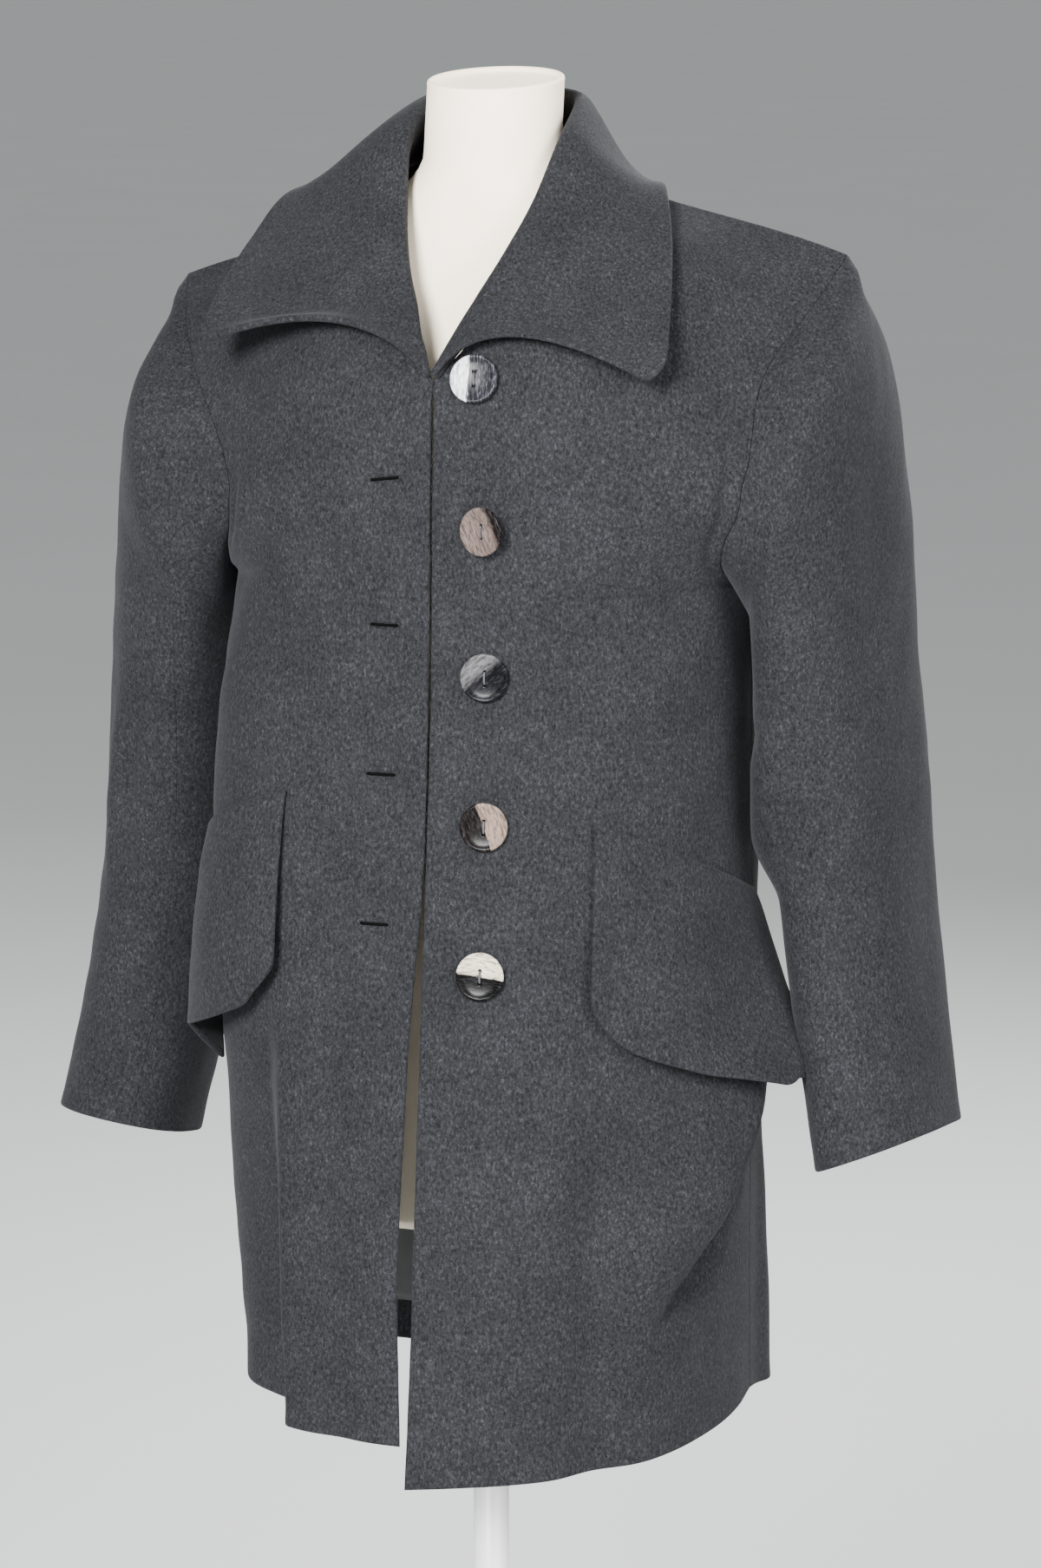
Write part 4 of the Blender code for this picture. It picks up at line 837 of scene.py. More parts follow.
def body_grids(cloth):
    """Outer points and normals of both fronts and the back, with shared normals at the seams."""
    rises, underarm = body_rises(cloth)
    front_places = spread(ACROSS_LENGTH, cloth.columns, TURNED_STEPS, SEAM_STEPS)
    shoulder = NECK_CORNER * spread(SHOULDER_LENGTH, SHOULDER_COLUMNS, SEAM_STEPS, NO_STEPS)
    neck = np.linspace(NECK_CORNER, 1.0, NECK_COLUMNS)[1:]
    back_half = np.concatenate([shoulder, neck])
    grids = {"back": back_points(cloth, rises, back_half, WAVE_SEEDS["back"])}
    for name, side, folds, creases in (("front_left", LEFT, FOLDS_LEFT, CREASES_LEFT),
                                       ("front_right", RIGHT, FOLDS_RIGHT, CREASES_RIGHT)):
        grids[name] = front_points(side, folds, creases, cloth, rises, front_places, WAVE_SEEDS[name])
    back_normals = surface_normals(grids["back"], 1.0)
    result = {"rises": rises, "underarm": underarm}
    low = underarm + 1
    for name, side in (("left", LEFT), ("right", RIGHT)):
        grid = grids["front_" + name]
        normals = surface_normals(grid, side.sign)
        edge = 0 if name == "left" else -1
        shared = unit(normals[:low, -1] + back_normals[:low, edge])
        normals[:low, -1] = shared
        back_normals[:low, edge] = shared
        result["front_" + name] = (grid, normals)
    result["back"] = (grids["back"], back_normals)
    return result


def armhole_points(side, grids, turns):
    """Points of the armhole at the given turns, from the underarm over the front and round."""
    start = grids["underarm"]
    rises = grids["rises"][start:] - 1.0
    front = grids["front_left" if side is LEFT else "front_right"][0][start:, -1]
    back = grids["back"][0][start:, 0 if side is LEFT else -1]
    keys = np.concatenate([rises[:-1] * 0.5, 1.0 - rises[::-1] * 0.5])
    ring = np.concatenate([front[:-1], back[::-1]])
    return between(turns, keys, ring)


def sleeve_ring(ring, turns):
    """Points of one sleeve ring, from the inner side over the front, outer side and back."""
    inner = np.array([ring.inner_x, ring.middle_y, ring.inner_z])
    outer = np.array([ring.outer_x, ring.middle_y, ring.outer_z])
    middle = (inner + outer) / 2.0
    half = (outer - inner) / 2.0
    angles = turns * 2.0 * math.pi
    across = -np.sign(np.cos(angles)) * np.abs(np.cos(angles)) ** ring.square
    forward = np.sign(np.sin(angles)) * np.abs(np.sin(angles)) ** ring.square
    points = middle + across[:, None] * half
    points[:, 1] -= forward * ring.half_depth
    points[:, 0] -= forward * ring.half_depth * math.sin(ring.turn)
    points[:, 2] += forward * ring.half_depth * math.sin(ring.tilt)
    return points


def sleeve_keys(side, grids, turns, gap):
    """Points of the armhole and of the sleeve's own rings at the given turns, as left-side points."""
    table = SLEEVE_LEFT if side is LEFT else SLEEVE_RIGHT
    keys = [armhole_points(side, grids, turns) * np.array([side.sign, 1.0, 1.0])]
    keys += [sleeve_ring(ring, turns) for ring in table]
    keys[0] = keys[0] + unit(keys[1] - keys[0]) * gap / 2.0
    return np.array(keys)


def sleeve_points(side, grids, turns, cloth):
    """Rings of a sleeve from the armhole to the cuff."""
    even = np.linspace(0.0, 1.0, SLEEVE_RING_SIDES + 1)[:-1]
    rough = sleeve_keys(side, grids, even, cloth.seam_gap)
    lengths = [0.0]
    for before, after in zip(rough, rough[1:]):
        lengths.append(lengths[-1] + float(np.linalg.norm((after - before).mean(axis=0))))
    lengths[1] = max(lengths[1], 0.045)
    places = spread(lengths[-1], cloth.sleeve_rows, SEAM_STEPS, TURNED_STEPS)
    stack = sleeve_keys(side, grids, turns, cloth.seam_gap)
    grid = np.zeros((len(places), len(turns), 3))
    for i in range(len(turns)):
        for axis in range(3):
            grid[:, i, axis] = track(lengths, stack[:, i, axis], places * lengths[-1])
    grid[:, :, 0] *= side.sign
    return grid, places


def ring_normals(grid, facing):
    """Outward normals of closed rings."""
    around = np.roll(grid, -1, axis=1) - np.roll(grid, 1, axis=1)
    return unit(np.cross(around, np.gradient(grid, axis=0))) * facing


def sleeve_turns():
    """Places round the upper and the under part of a sleeve, crowded at its two seams."""
    front, rear = SLEEVE_SEAMS
    parts = []
    for start, share in ((front, rear - front), (rear, 1.0 - rear + front)):
        parts.append(start + share * spread(SLEEVE_ROUND * share, SLEEVE_COLUMNS, SEAM_STEPS, SEAM_STEPS))
    return parts


def round_sleeve(side, grids, cloth, creases, seed):
    """The closed sleeve with creases: points, normals, the columns of both parts and its places."""
    upper, under = sleeve_turns()
    turns = np.concatenate([upper, under[1:-1]]) % 1.0
    grid, places = sleeve_points(side, grids, turns, cloth)
    normals = ring_normals(grid, -side.sign)
    relief = np.zeros(grid.shape[:2])
    for shift in (-1.0, 0.0, 1.0):
        around, down = np.meshgrid((turns + shift) * SLEEVE_ROUND, places * SLEEVE_LENGTH)
        relief += crease_relief(in_metres(creases, SLEEVE_ROUND, SLEEVE_LENGTH), around, down)
    relief += uneven(grid, cloth, (0.12, 0.05), 0.6, seed)
    down = places * SLEEVE_LENGTH
    relief *= (ease(down / 0.03))[:, None]
    relief += (cloth.wall * ease(down / 0.034))[:, None]
    over = np.exp(-((turns - 0.5) / 0.16) ** 2)
    relief += 0.0032 * np.exp(-((down - 0.013) / 0.009) ** 2)[:, None] * over[None, :]
    grid = grid + normals * relief[:, :, None]
    normals = ring_normals(grid, -side.sign)
    middle = grid[0].mean(axis=0)
    start = unit(grid[0] - middle)
    blend = ease(down / 0.020)[:, None, None]
    normals = unit(start[None] * (1.0 - blend) + normals * blend)
    top = list(range(len(upper)))
    low = list(range(len(upper) - 1, len(turns))) + [0]
    return grid, normals, top, low, places


def collar_section(seam, roll, edge, swell, arch, stand_places, fall_places):
    """A collar section: up from the seam, over the roll line and down to the outer edge."""
    up = np.array([0.0, 0.0, 1.0])
    reach = np.array([edge[0] - roll[0], edge[1] - roll[1], 0.0])
    outward = unit(reach)
    drop = max(roll[2] - edge[2], 0.0)
    stand_hand = seam + (roll - seam) * 0.45
    top_hand = roll - outward * min(0.004, swell * 0.3) - up * 0.003
    stand = sweep(seam, stand_hand, top_hand, roll, stand_places)
    fall_hand = roll + outward * swell + up * (0.002 + arch)
    low_hand = edge - reach * 0.42 + up * (drop * 0.14 + arch * 0.8)
    fall = sweep(roll, fall_hand, low_hand, edge, fall_places)
    return np.concatenate([stand, fall[1:]])


def collar_points():
    """Collar columns from the left front end round the neck to the right front end."""
    stand_places = np.linspace(0.0, 1.0, STAND_ROWS)
    fall_places = spread(FALL_LENGTH, FALL_ROWS, NO_STEPS, TURNED_STEPS) ** 1.15
    left, right = ([Collar(*neck, *fall) for neck, fall in zip(COLLAR_NECK, falls)]
                   for falls in (COLLAR_FALL_LEFT, COLLAR_FALL_RIGHT))
    stations = left + [row._replace(seam_x=-row.seam_x, roll_x=-row.roll_x, edge_x=-row.edge_x)
                       for row in right[-2::-1]]
    keys = np.linspace(0.0, 2.0, len(stations))
    places = 2.0 * spread(COLLAR_LENGTH, COLLAR_COLUMNS, TURNED_STEPS, TURNED_STEPS)
    values = {}
    for name in Collar._fields:
        values[name] = track(keys, [getattr(row, name) for row in stations], places)
    rows = []
    for i in range(len(places)):
        seam, roll, edge = (np.array([values[part + axis][i] for axis in ("_x", "_y", "_z")])
                            for part in ("seam", "roll", "edge"))
        rows.append(collar_section(seam, roll, edge, values["swell"][i], values["arch"][i],
                                   stand_places, fall_places))
    return np.array(rows)


def rounded_corner(grid, last_row, last_column, radius):
    """Grid with one corner rounded within its own surface."""
    if last_row:
        return rounded_corner(grid[::-1], False, last_column, radius)[::-1]
    if last_column:
        return rounded_corner(grid[:, ::-1], False, False, radius)[:, ::-1]
    across = lengths_across(grid)[0]
    along = lengths_along(grid)[0]
    a = np.clip(1.0 - across / radius, 0.0, 1.0)
    b = np.clip(1.0 - along / radius, 0.0, 1.0)
    new_across = np.where((a > 0) & (b > 0), radius * (1.0 - a * np.sqrt(1.0 - b * b / 2.0)), across)
    new_along = np.where((a > 0) & (b > 0), radius * (1.0 - b * np.sqrt(1.0 - a * a / 2.0)), along)
    shifted = np.empty_like(grid)
    for i in range(grid.shape[0]):
        shifted[i] = between(new_across[i], across[i], grid[i])
    result = np.empty_like(grid)
    for j in range(grid.shape[1]):
        result[:, j] = between(new_along[:, j], along[:, j], shifted[:, j])
    return result


def flap_points(flap, sheet, cloth, radius):
    """Points and normals of a flap, bottom row first, front column first."""
    grid, normals = sheet
    front_places = spread(ACROSS_LENGTH, cloth.columns, TURNED_STEPS, SEAM_STEPS)
    share = spread(FLAP_LENGTH, FLAP_COLUMNS, TURNED_STEPS, TURNED_STEPS)
    places = flap.front_across + (flap.back_across - flap.front_across) * share
    downs = 1.0 - spread(flap.drop, FLAP_ROWS, TURNED_STEPS, SEAM_STEPS)
    points = np.zeros((len(downs), len(places), 3))
    outward = np.zeros_like(points)
    for j, across in enumerate(places):
        k = int(np.clip(np.searchsorted(front_places, across) - 1, 0, len(front_places) - 2))
        t = (across - front_places[k]) / (front_places[k + 1] - front_places[k])
        line = grid[:, k] * (1.0 - t) + grid[:, k + 1] * t
        facing = normals[:, k] * (1.0 - t) + normals[:, k + 1] * t
        along = share[j]
        round_front = 0.020 * max(0.0, 1.0 - along * 4.5) ** 2 * ease(downs)
        top = flap.front_top + (flap.back_top - flap.front_top) * along
        rear = ease((along - 0.78) / 0.22)
        fall = flap.sag * ease(along / 0.8) + flap.rear_drop * rear
        heights = top - flap.drop * downs + (round_front - fall) * downs
        base = between(heights, line[:, 2], line)
        face = unit(between(heights, line[:, 2], facing))
        face[:, 1] = np.minimum(face[:, 1], flap.most_back)
        face = unit(face)
        lift = flap.lift_front + (flap.lift_back - flap.lift_front) * along
        lift *= 1.0 - flap.rear_in * rear
        stand_off = cloth.flap_wall + cloth.seam_gap * 1.5 + lift * downs ** 0.8
        points[:, j] = base + face * stand_off[:, None]
        outward[:, j] = face
    points = rounded_corner(points, False, False, radius)
    return points, outward


def surface_at(sheet, height, inward):
    """Point and normal of a front at a height, a distance in from its edge."""
    grid, normals = sheet
    heights = grid[:, 0, 2]
    i = int(np.clip(np.searchsorted(heights, height) - 1, 0, len(heights) - 2))
    t = (height - heights[i]) / (heights[i + 1] - heights[i])
    row = grid[i] * (1.0 - t) + grid[i + 1] * t
    row_normals = normals[i] * (1.0 - t) + normals[i + 1] * t
    lengths = np.concatenate([[0.0], np.cumsum(np.linalg.norm(np.diff(row, axis=0), axis=1))])
    return between(inward, lengths, row), unit(between(inward, lengths, row_normals))


def lathe(name, profile, sides, looks, cutters=()):
    """Solid of revolution about z from a profile of radius and height pairs."""
    mesh = bmesh.new()
    vertices = [mesh.verts.new((radius, 0.0, height)) for radius, height in profile]
    edges = [mesh.edges.new(pair) for pair in zip(vertices, vertices[1:])]
    bmesh.ops.spin(mesh, geom=vertices + edges, cent=(0.0, 0.0, 0.0), axis=(0.0, 0.0, 1.0),
                   angle=2.0 * math.pi, steps=sides, use_merge=True)
    bmesh.ops.remove_doubles(mesh, verts=mesh.verts[:], dist=0.00001)
    item = finish_mesh(name, mesh, looks)
    for cutter in cutters:
        cut_away(item, cutter)
    return item


def cut_away(item, cutter):
    """Cut one object out of another and remove the cutter."""
    change = item.modifiers.new("cut", "BOOLEAN")
    change.operation = "DIFFERENCE"
    change.solver = "EXACT"
    change.object = cutter
    bpy.context.view_layer.update()
    graph = bpy.context.evaluated_depsgraph_get()
    data = bpy.data.meshes.new_from_object(item.evaluated_get(graph))
    item.modifiers.clear()
    item.data = data
    bpy.data.objects.remove(cutter, do_unlink=True)


def tube(name, path, radius, looks, sides=10, closed=False):
    """A round thread along a path, as a closed mesh."""
    path = np.asarray(path, float)
    if closed:
        ways = unit(np.roll(path, -1, axis=0) - np.roll(path, 1, axis=0))
    else:
        ways = unit(np.gradient(path, axis=0))
    side_way = unit(np.cross(ways, np.array([0.31, 0.17, 0.93])))
    up_way = unit(np.cross(side_way, ways))
    angles = np.linspace(0.0, 2.0 * math.pi, sides + 1)
    rings = path[:, None, :] + radius * (np.cos(angles)[None, :, None] * side_way[:, None, :]
                                         + np.sin(angles)[None, :, None] * up_way[:, None, :])
    if closed:
        rings = np.concatenate([rings, rings[:1]])
    return wrapped(name, rings, looks)


def wrapped(name, rings, looks):
    """Closed mesh from a stack of rings whose last point repeats the first."""
    rows, columns = rings.shape[:2]
    mesh = bmesh.new()
    bmesh.ops.create_grid(mesh, x_segments=columns - 1, y_segments=rows - 1, size=1.0)
    for vertex in mesh.verts:
        i = round((vertex.co.y + 1.0) / 2.0 * (rows - 1))
        j = round((vertex.co.x + 1.0) / 2.0 * (columns - 1))
        vertex.co = rings[i, j]
    bmesh.ops.remove_doubles(mesh, verts=mesh.verts[:], dist=0.000002)
    bmesh.ops.holes_fill(mesh, edges=[edge for edge in mesh.edges if edge.is_boundary], sides=0)
    return finish_mesh(name, mesh, looks)


def rigid_piece(item, slot, *nodes):
    """Attach a finished piece to the root and hide the nodes it stands for."""
    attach(item, "root")
    if nodes:
        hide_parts(*nodes)
    return item


Look = namedtuple("Look", "material tree shader place")


def new_look(name, colour, roughness):
    """Material with a principled shader, its node tree and its object coordinates."""
    material = bpy.data.materials.new(name)
    material.use_nodes = True
    material.diffuse_color = (*colour, 1.0)
    tree = material.node_tree
    place = tree.nodes.new("ShaderNodeTexCoord")
    look = Look(material, tree, tree.nodes["Principled BSDF"], place.outputs["Object"])
    feed(look, look.shader, {"Base Color": (*colour, 1.0), "Roughness": roughness})
    return look


def feed(look, node, inputs):
    """Set a node's inputs: another node's output is linked, anything else is set as a value."""
    for name, value in inputs.items():
        if isinstance(value, bpy.types.NodeSocket):
            look.tree.links.new(value, node.inputs[name])
        else:
            node.inputs[name].default_value = value


def added(look, kind, inputs):
    """New node with its inputs fed."""
    node = look.tree.nodes.new("ShaderNode" + kind)
    feed(look, node, inputs)
    return node


def stretched(look, place, scale):
    """Coordinates stretched by a scale for each axis."""
    return added(look, "Mapping", {"Scale": scale, "Vector": place}).outputs["Vector"]


def noise(look, place, scale, detail, roughness, distortion=0.0):
    """Noise value over the coordinates."""
    return added(look, "TexNoise", {"Scale": scale, "Detail": detail, "Roughness": roughness,
                                    "Distortion": distortion, "Vector": place}).outputs["Fac"]


def sum_of(look, first, second, share):
    """First value plus a share of the second."""
    node = added(look, "Math", {})
    node.operation = "MULTIPLY_ADD"
    feed(look, node, {0: second, 1: share, 2: first})
    return node.outputs["Value"]


def span(look, value, low, high, to_low=0.0, to_high=1.0):
    """Value moved from one range to another."""
    return added(look, "MapRange", {"From Min": low, "From Max": high, "To Min": to_low,
                                    "To Max": to_high, "Value": value}).outputs["Result"]


def ramp(look, value, stops):
    """Colours along a value."""
    node = added(look, "ValToRGB", {"Fac": value})
    elements = node.color_ramp.elements
    for element, (position, colour) in zip(elements, (stops[0], stops[-1])):
        element.position = position
        element.color = (*colour, 1.0)
    for position, colour in stops[1:-1]:
        elements.new(position).color = (*colour, 1.0)
    return node.outputs["Color"]


def bump(look, height, strength, distance):
    """Bump on the shader from a height value."""
    node = added(look, "Bump", {"Strength": strength, "Distance": distance, "Height": height})
    feed(look, look.shader, {"Normal": node.outputs["Normal"]})


def middle_colour(dark, light, share):
    """Colour between two others."""
    return tuple(a + (b - a) * share for a, b in zip(dark, light))


def scaled(colour, share):
    """Darker or lighter colour."""
    return tuple(min(1.0, channel * share) for channel in colour)


def wool_look(name):
    """Heathered melton: mixed dark and light fibres, a felted nap and slow cloudiness."""
    colours = bpy.context.scene.coat_colours
    dark, light = tuple(colours.wool_dark), tuple(colours.wool_light)
    look = new_look(name, middle_colour(dark, light, 0.27), 0.92)
    fleck = noise(look, stretched(look, look.place, (1.0, 1.0, 0.62)), 590.0, 2.0, 0.62, 0.4)
    hair = noise(look, stretched(look, look.place, (1.0, 1.0, 1.35)), 1500.0, 1.0, 0.6, 0.8)
    cloud = noise(look, look.place, 22.0, 3.0, 0.6)
    value = sum_of(look, sum_of(look, fleck, hair, 0.55), cloud, 0.22)
    colour = ramp(look, span(look, value, 0.62, 1.16), (
        (0.05, dark), (0.38, middle_colour(dark, light, 0.20)), (0.62, middle_colour(dark, light, 0.33)),
        (0.86, middle_colour(dark, light, 0.62)), (1.0, light)))
    feed(look, look.shader, {"Base Color": colour, "Specular IOR Level": 0.08, "Sheen Weight": 0.04,
                             "Sheen Roughness": 0.45, "Sheen Tint": (0.75, 0.77, 0.82, 1.0)})
    bump(look, sum_of(look, fleck, hair, 0.7), 0.42, 0.0009)
    return look.material


def lining_look(name):
    """Smooth black lining with a fine twill."""
    colour = tuple(bpy.context.scene.coat_colours.lining)
    look = new_look(name, colour, 0.50)
    twill = added(look, "TexWave", {"Scale": 240.0, "Distortion": 0.6, "Vector": look.place})
    twill.bands_direction = "DIAGONAL"
    cloud = noise(look, look.place, 60.0, 3.0, 0.6)
    tone = ramp(look, cloud, ((0.3, scaled(colour, 0.6)), (0.7, scaled(colour, 1.9))))
    feed(look, look.shader, {"Base Color": tone, "Sheen Weight": 0.08})
    bump(look, sum_of(look, twill.outputs["Fac"], cloud, 0.8), 0.20, 0.0004)
    return look.material


def slit_look(name):
    """Painted shade: dull black standing for the shadow inside the open slits."""
    look = new_look(name, (0.002, 0.002, 0.002), 0.95)
    feed(look, look.shader, {"Specular IOR Level": 0.02})
    return look.material


def form_look(name):
    """Ivory knitted cover of the form, slightly uneven in tone."""
    colour = tuple(bpy.context.scene.coat_colours.form)
    look = new_look(name, colour, 0.70)
    cloud = noise(look, look.place, 14.0, 3.0, 0.6)
    grain = noise(look, stretched(look, look.place, (1.0, 1.0, 0.5)), 1300.0, 1.0, 0.5)
    tone = ramp(look, sum_of(look, cloud, grain, 0.25), (
        (0.30, middle_colour(colour, (0.60, 0.52, 0.40), 0.16)), (0.80, colour)))
    feed(look, look.shader, {"Base Color": tone, "Specular IOR Level": 0.35, "Sheen Weight": 0.05})
    bump(look, grain, 0.14, 0.0004)
    return look.material


def stand_look(name):
    """Satin light grey paint with a faint orange-peel surface."""
    colour = tuple(bpy.context.scene.coat_colours.stand)
    look = new_look(name, colour, 0.38)
    cloud = noise(look, look.place, 30.0, 3.0, 0.6)
    peel = noise(look, look.place, 700.0, 2.0, 0.5)
    tone = ramp(look, cloud, ((0.25, scaled(colour, 0.93)), (0.75, colour)))
    feed(look, look.shader, {"Base Color": tone, "Roughness": span(look, cloud, 0.0, 1.0, 0.30, 0.46)})
    bump(look, peel, 0.08, 0.0003)
    return look.material


def thread_look(name):
    """Dark twisted sewing thread."""
    look = new_look(name, (0.030, 0.030, 0.034), 0.65)
    twist = noise(look, look.place, 2600.0, 1.0, 0.5)
    tone = ramp(look, twist, ((0.35, (0.016, 0.016, 0.018)), (0.65, (0.065, 0.065, 0.072))))
    feed(look, look.shader, {"Base Color": tone})
    bump(look, twist, 0.4, 0.0003)
    return look.material


def floor_look(name):
    """Plain pale floor."""
    colour = tuple(bpy.context.scene.coat_colours.floor)
    look = new_look(name, colour, 0.85)
    tone = ramp(look, noise(look, look.place, 1.4, 3.0, 0.5), ((0.3, scaled(colour, 0.97)), (0.7, colour)))
    feed(look, look.shader, {"Base Color": tone})
    return look.material


LOOKS = {"heathered_wool": wool_look, "black_lining": lining_look, "slit_shade": slit_look,
         "ivory_cover": form_look, "satin_paint": stand_look, "dark_thread": thread_look,
         "pale_floor": floor_look}


def finish(name):
    """Material of that name, made when it is first asked for."""
    found = bpy.data.materials.get(name)
    return LOOKS[name](name) if found is None else found


def cloth_finishes():
    """Wool, and the lining for the inner faces."""
    return [finish("heathered_wool"), finish("black_lining")]


# Buttons from the top: turn of the bands, where the dark shell meets the painted highlight and how softly,
# the colour of the dark shell and of the painted highlight that stands for the glint on the glossy face, and
# how far the button leans. The map's first axis points up the coat and its second to the wearer's right.
Shell = namedtuple("Shell", "turn split soft dark light lean")
SHELL_TONES_AND_HIGHLIGHTS = (
    Shell(90.0, 0.26, 0.05, (0.016, 0.016, 0.019), (0.46, 0.46, 0.49), 0.0),
    Shell(115.0, -0.55, 0.12, (0.006, 0.005, 0.005), (0.082, 0.062, 0.055), 22.0),
    Shell(40.0, 0.25, 0.22, (0.004, 0.004, 0.005), (0.070, 0.068, 0.071), 0.0),
    Shell(-70.0, 0.00, 0.05, (0.005, 0.004, 0.004), (0.140, 0.102, 0.084), 0.0),
    Shell(-8.0, 0.02, 0.05, (0.003, 0.003, 0.003), (0.42, 0.375, 0.295), 0.0),
)


def banded(look, streak, middle, colour, least, most):
    """Streaky bands of one colour, darkest and lightest as shares of it."""
    return ramp(look, streak, ((middle - 0.12, scaled(colour, least)), (middle, colour),
                               (middle + 0.14, scaled(colour, most))))


def painted_highlight_shell_finish(number, shell_with_highlight):
    """Polished dark shell with streaky bands, and a light side of painted highlight standing for the glint on
    the dished face, read from the button's own map.
    """
    look = new_look("polished_shell_" + str(number), shell_with_highlight.dark, 0.25)
    own = added(look, "UVMap", {})
    own.uv_map = "face"
    turned = added(look, "Mapping", {"Rotation": (0.0, 0.0, math.radians(-shell_with_highlight.turn)),
                                     "Vector": own.outputs["UV"]}).outputs["Vector"]
    streak = noise(look, stretched(look, turned, (5.0, 1.1, 1.0)), 2.2, 4.0, 0.65, 0.5)
    split = added(look, "SeparateXYZ", {"Vector": turned})
    edge = sum_of(look, split.outputs["X"], streak, 0.22)
    middle = shell_with_highlight.split + 0.11
    # Mix of the dark shell and its light side, which is painted highlight with the shell's bands running
    # through it.
    mix = added(look, "Mix", {})
    mix.data_type = "RGBA"
    feed(look, mix, {"Factor": span(look, edge, middle - shell_with_highlight.soft, middle + shell_with_highlight.soft),
                     "A": banded(look, streak, 0.52, shell_with_highlight.dark, 0.40, 4.5),
                     "B": banded(look, streak, 0.50, shell_with_highlight.light, 0.45, 1.5)})
    feed(look, look.shader, {"Base Color": mix.outputs["Result"], "Specular IOR Level": 0.05,
                             "Coat Weight": 0.02, "Coat Roughness": 0.15})
    bump(look, streak, 0.05, 0.0003)
    return look.material


SHAPES = {}


def shapes():
    """Points of the body, worked out once."""
    if "body" not in SHAPES:
        SHAPES["body"] = body_grids(bpy.context.scene.coat_cloth)
    return SHAPES["body"]


class COAT_OT_body(bpy.types.Operator):
    """Builds both fronts and the back"""

    bl_idname = "coat.body"
    bl_label = "Fronts and back"

    def execute(self, context):
        cloth = context.scene.coat_cloth
        grids = shapes()
        looks = cloth_finishes()
        for name in ("front_left", "front_right"):
            grid, normals = grids[name]
            grid = pulled_in(grid, (False, True, False, True), cloth.seam_gap * SEAM_SHARE)
            lined = (HEM_ROWS, grid.shape[0], FACING_COLUMNS, grid.shape[1])
            item = shell(name + "_cloth", grid, normals, cloth.wall, ("turned", "tight", "turned", "tight"),
                         looks, lined, cloth.turned_extra)
            cloth_piece(item, name)
        grid, normals = grids["back"]
        grid = pulled_in(grid, (True, True, False, True), cloth.seam_gap * SEAM_SHARE)
        item = shell("back_cloth", grid, normals, cloth.wall, ("tight", "tight", "turned", "seam"), looks,
                     (HEM_ROWS, grid.shape[0], 0, grid.shape[1]), cloth.turned_extra)
        cloth_piece(item, "back")
        return {"FINISHED"}


class COAT_OT_lining(bpy.types.Operator):
    """Builds the black lining strip that shows at the back of the skirt"""

    bl_idname = "coat.lining"
    bl_label = "Back lining"

    def execute(self, context):
        cloth = context.scene.coat_cloth
        box_low, box_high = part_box("lining_back")
        grid, normals = shapes()["back"]
        middle = grid.shape[1] // 2
        wide = np.abs(grid[5, :, 0]) <= box_high[0]
        columns = np.nonzero(wide)[0]
        rows = np.nonzero((grid[:, middle, 2] > box_low[2] + 0.010) & (grid[:, middle, 2] < box_high[2]))[0]
        part = grid[rows[0]:rows[-1] + 1, columns[0]:columns[-1] + 1]
        facing = normals[rows[0]:rows[-1] + 1, columns[0]:columns[-1] + 1]
        gap = cloth.wall + cloth.seam_gap
        outer = part - facing * gap
        inner = part - facing * (gap + cloth.lining_wall)
        item = closed_sheet("lining_back_cloth", outer, inner, [finish("black_lining")])
        cloth_piece(item, "lining_back")
        return {"FINISHED"}


class COAT_OT_sleeves(bpy.types.Operator):
    """Builds the two halves of both sleeves"""

    bl_idname = "coat.sleeves"
    bl_label = "Sleeves"

    def execute(self, context):
        cloth = context.scene.coat_cloth
        looks = cloth_finishes()
        for side, name, creases, join in ((LEFT, "left", CREASES_SLEEVE_LEFT, "tight"),
                                          (RIGHT, "right", CREASES_SLEEVE_RIGHT, "seam")):
            grid, normals, top, low, places = round_sleeve(side, shapes(), cloth, creases,
                                                           WAVE_SEEDS["sleeve_" + name])
            hem_row = int(np.searchsorted(places, 1.0 - SLEEVE_HEM / SLEEVE_LENGTH))
            for part, chosen in (("sleeve_top_", top), ("sleeve_under_", low)):
                piece = pulled_in(grid[:, chosen], (True, True, False, False), cloth.seam_gap * SEAM_SHARE)
                item = shell(part + name + "_cloth", piece, normals[:, chosen], cloth.wall,
                             ("tight", "tight", join, "turned"), looks,
                             (0, hem_row, 0, len(chosen)), cloth.turned_extra)
                cloth_piece(item, part + name)
        return {"FINISHED"}


class COAT_OT_collar(bpy.types.Operator):
    """Builds the collar with its stand, roll and fall"""

    bl_idname = "coat.collar"
    bl_label = "Collar"

    def execute(self, context):
        cloth = context.scene.coat_cloth
        grid = collar_points()
        grid = rounded_corner(grid, False, True, COLLAR_CORNER)
        grid = rounded_corner(grid, True, True, COLLAR_CORNER)
        normals = surface_normals(grid, 1.0)
        relief = cloth.unevenness * 0.8 * waves(grid, 0.08, WAVE_SEEDS["collar"])
        grid = grid - normals * relief[:, :, None]
        item = shell("collar_cloth", grid, -normals, cloth.collar_wall,
                     ("turned", "turned", "seam", "turned"), [finish("heathered_wool")], None,
                     cloth.turned_extra)
        cloth_piece(item, "collar")
        return {"FINISHED"}


class COAT_OT_flaps(bpy.types.Operator):
    """Builds both pocket flaps"""

    bl_idname = "coat.flaps"
    bl_label = "Pocket flaps"

    def execute(self, context):
        cloth = context.scene.coat_cloth
        looks = cloth_finishes()
        for flap, name in ((FLAP_LEFT, "left"), (FLAP_RIGHT, "right")):
            grid, normals = flap_points(flap, shapes()["front_" + name], cloth, FLAP_CORNER)
            rows, columns = grid.shape[:2]
            item = shell("pocket_flap_" + name + "_cloth", grid, normals, cloth.flap_wall,
                         ("turned", "turned", "turned", "seam"), looks,
                         (FLAP_TURNING, rows, FLAP_TURNING, columns - FLAP_TURNING),
                         cloth.turned_extra * 0.5)
            cloth_piece(item, "pocket_flap_" + name)
        return {"FINISHED"}


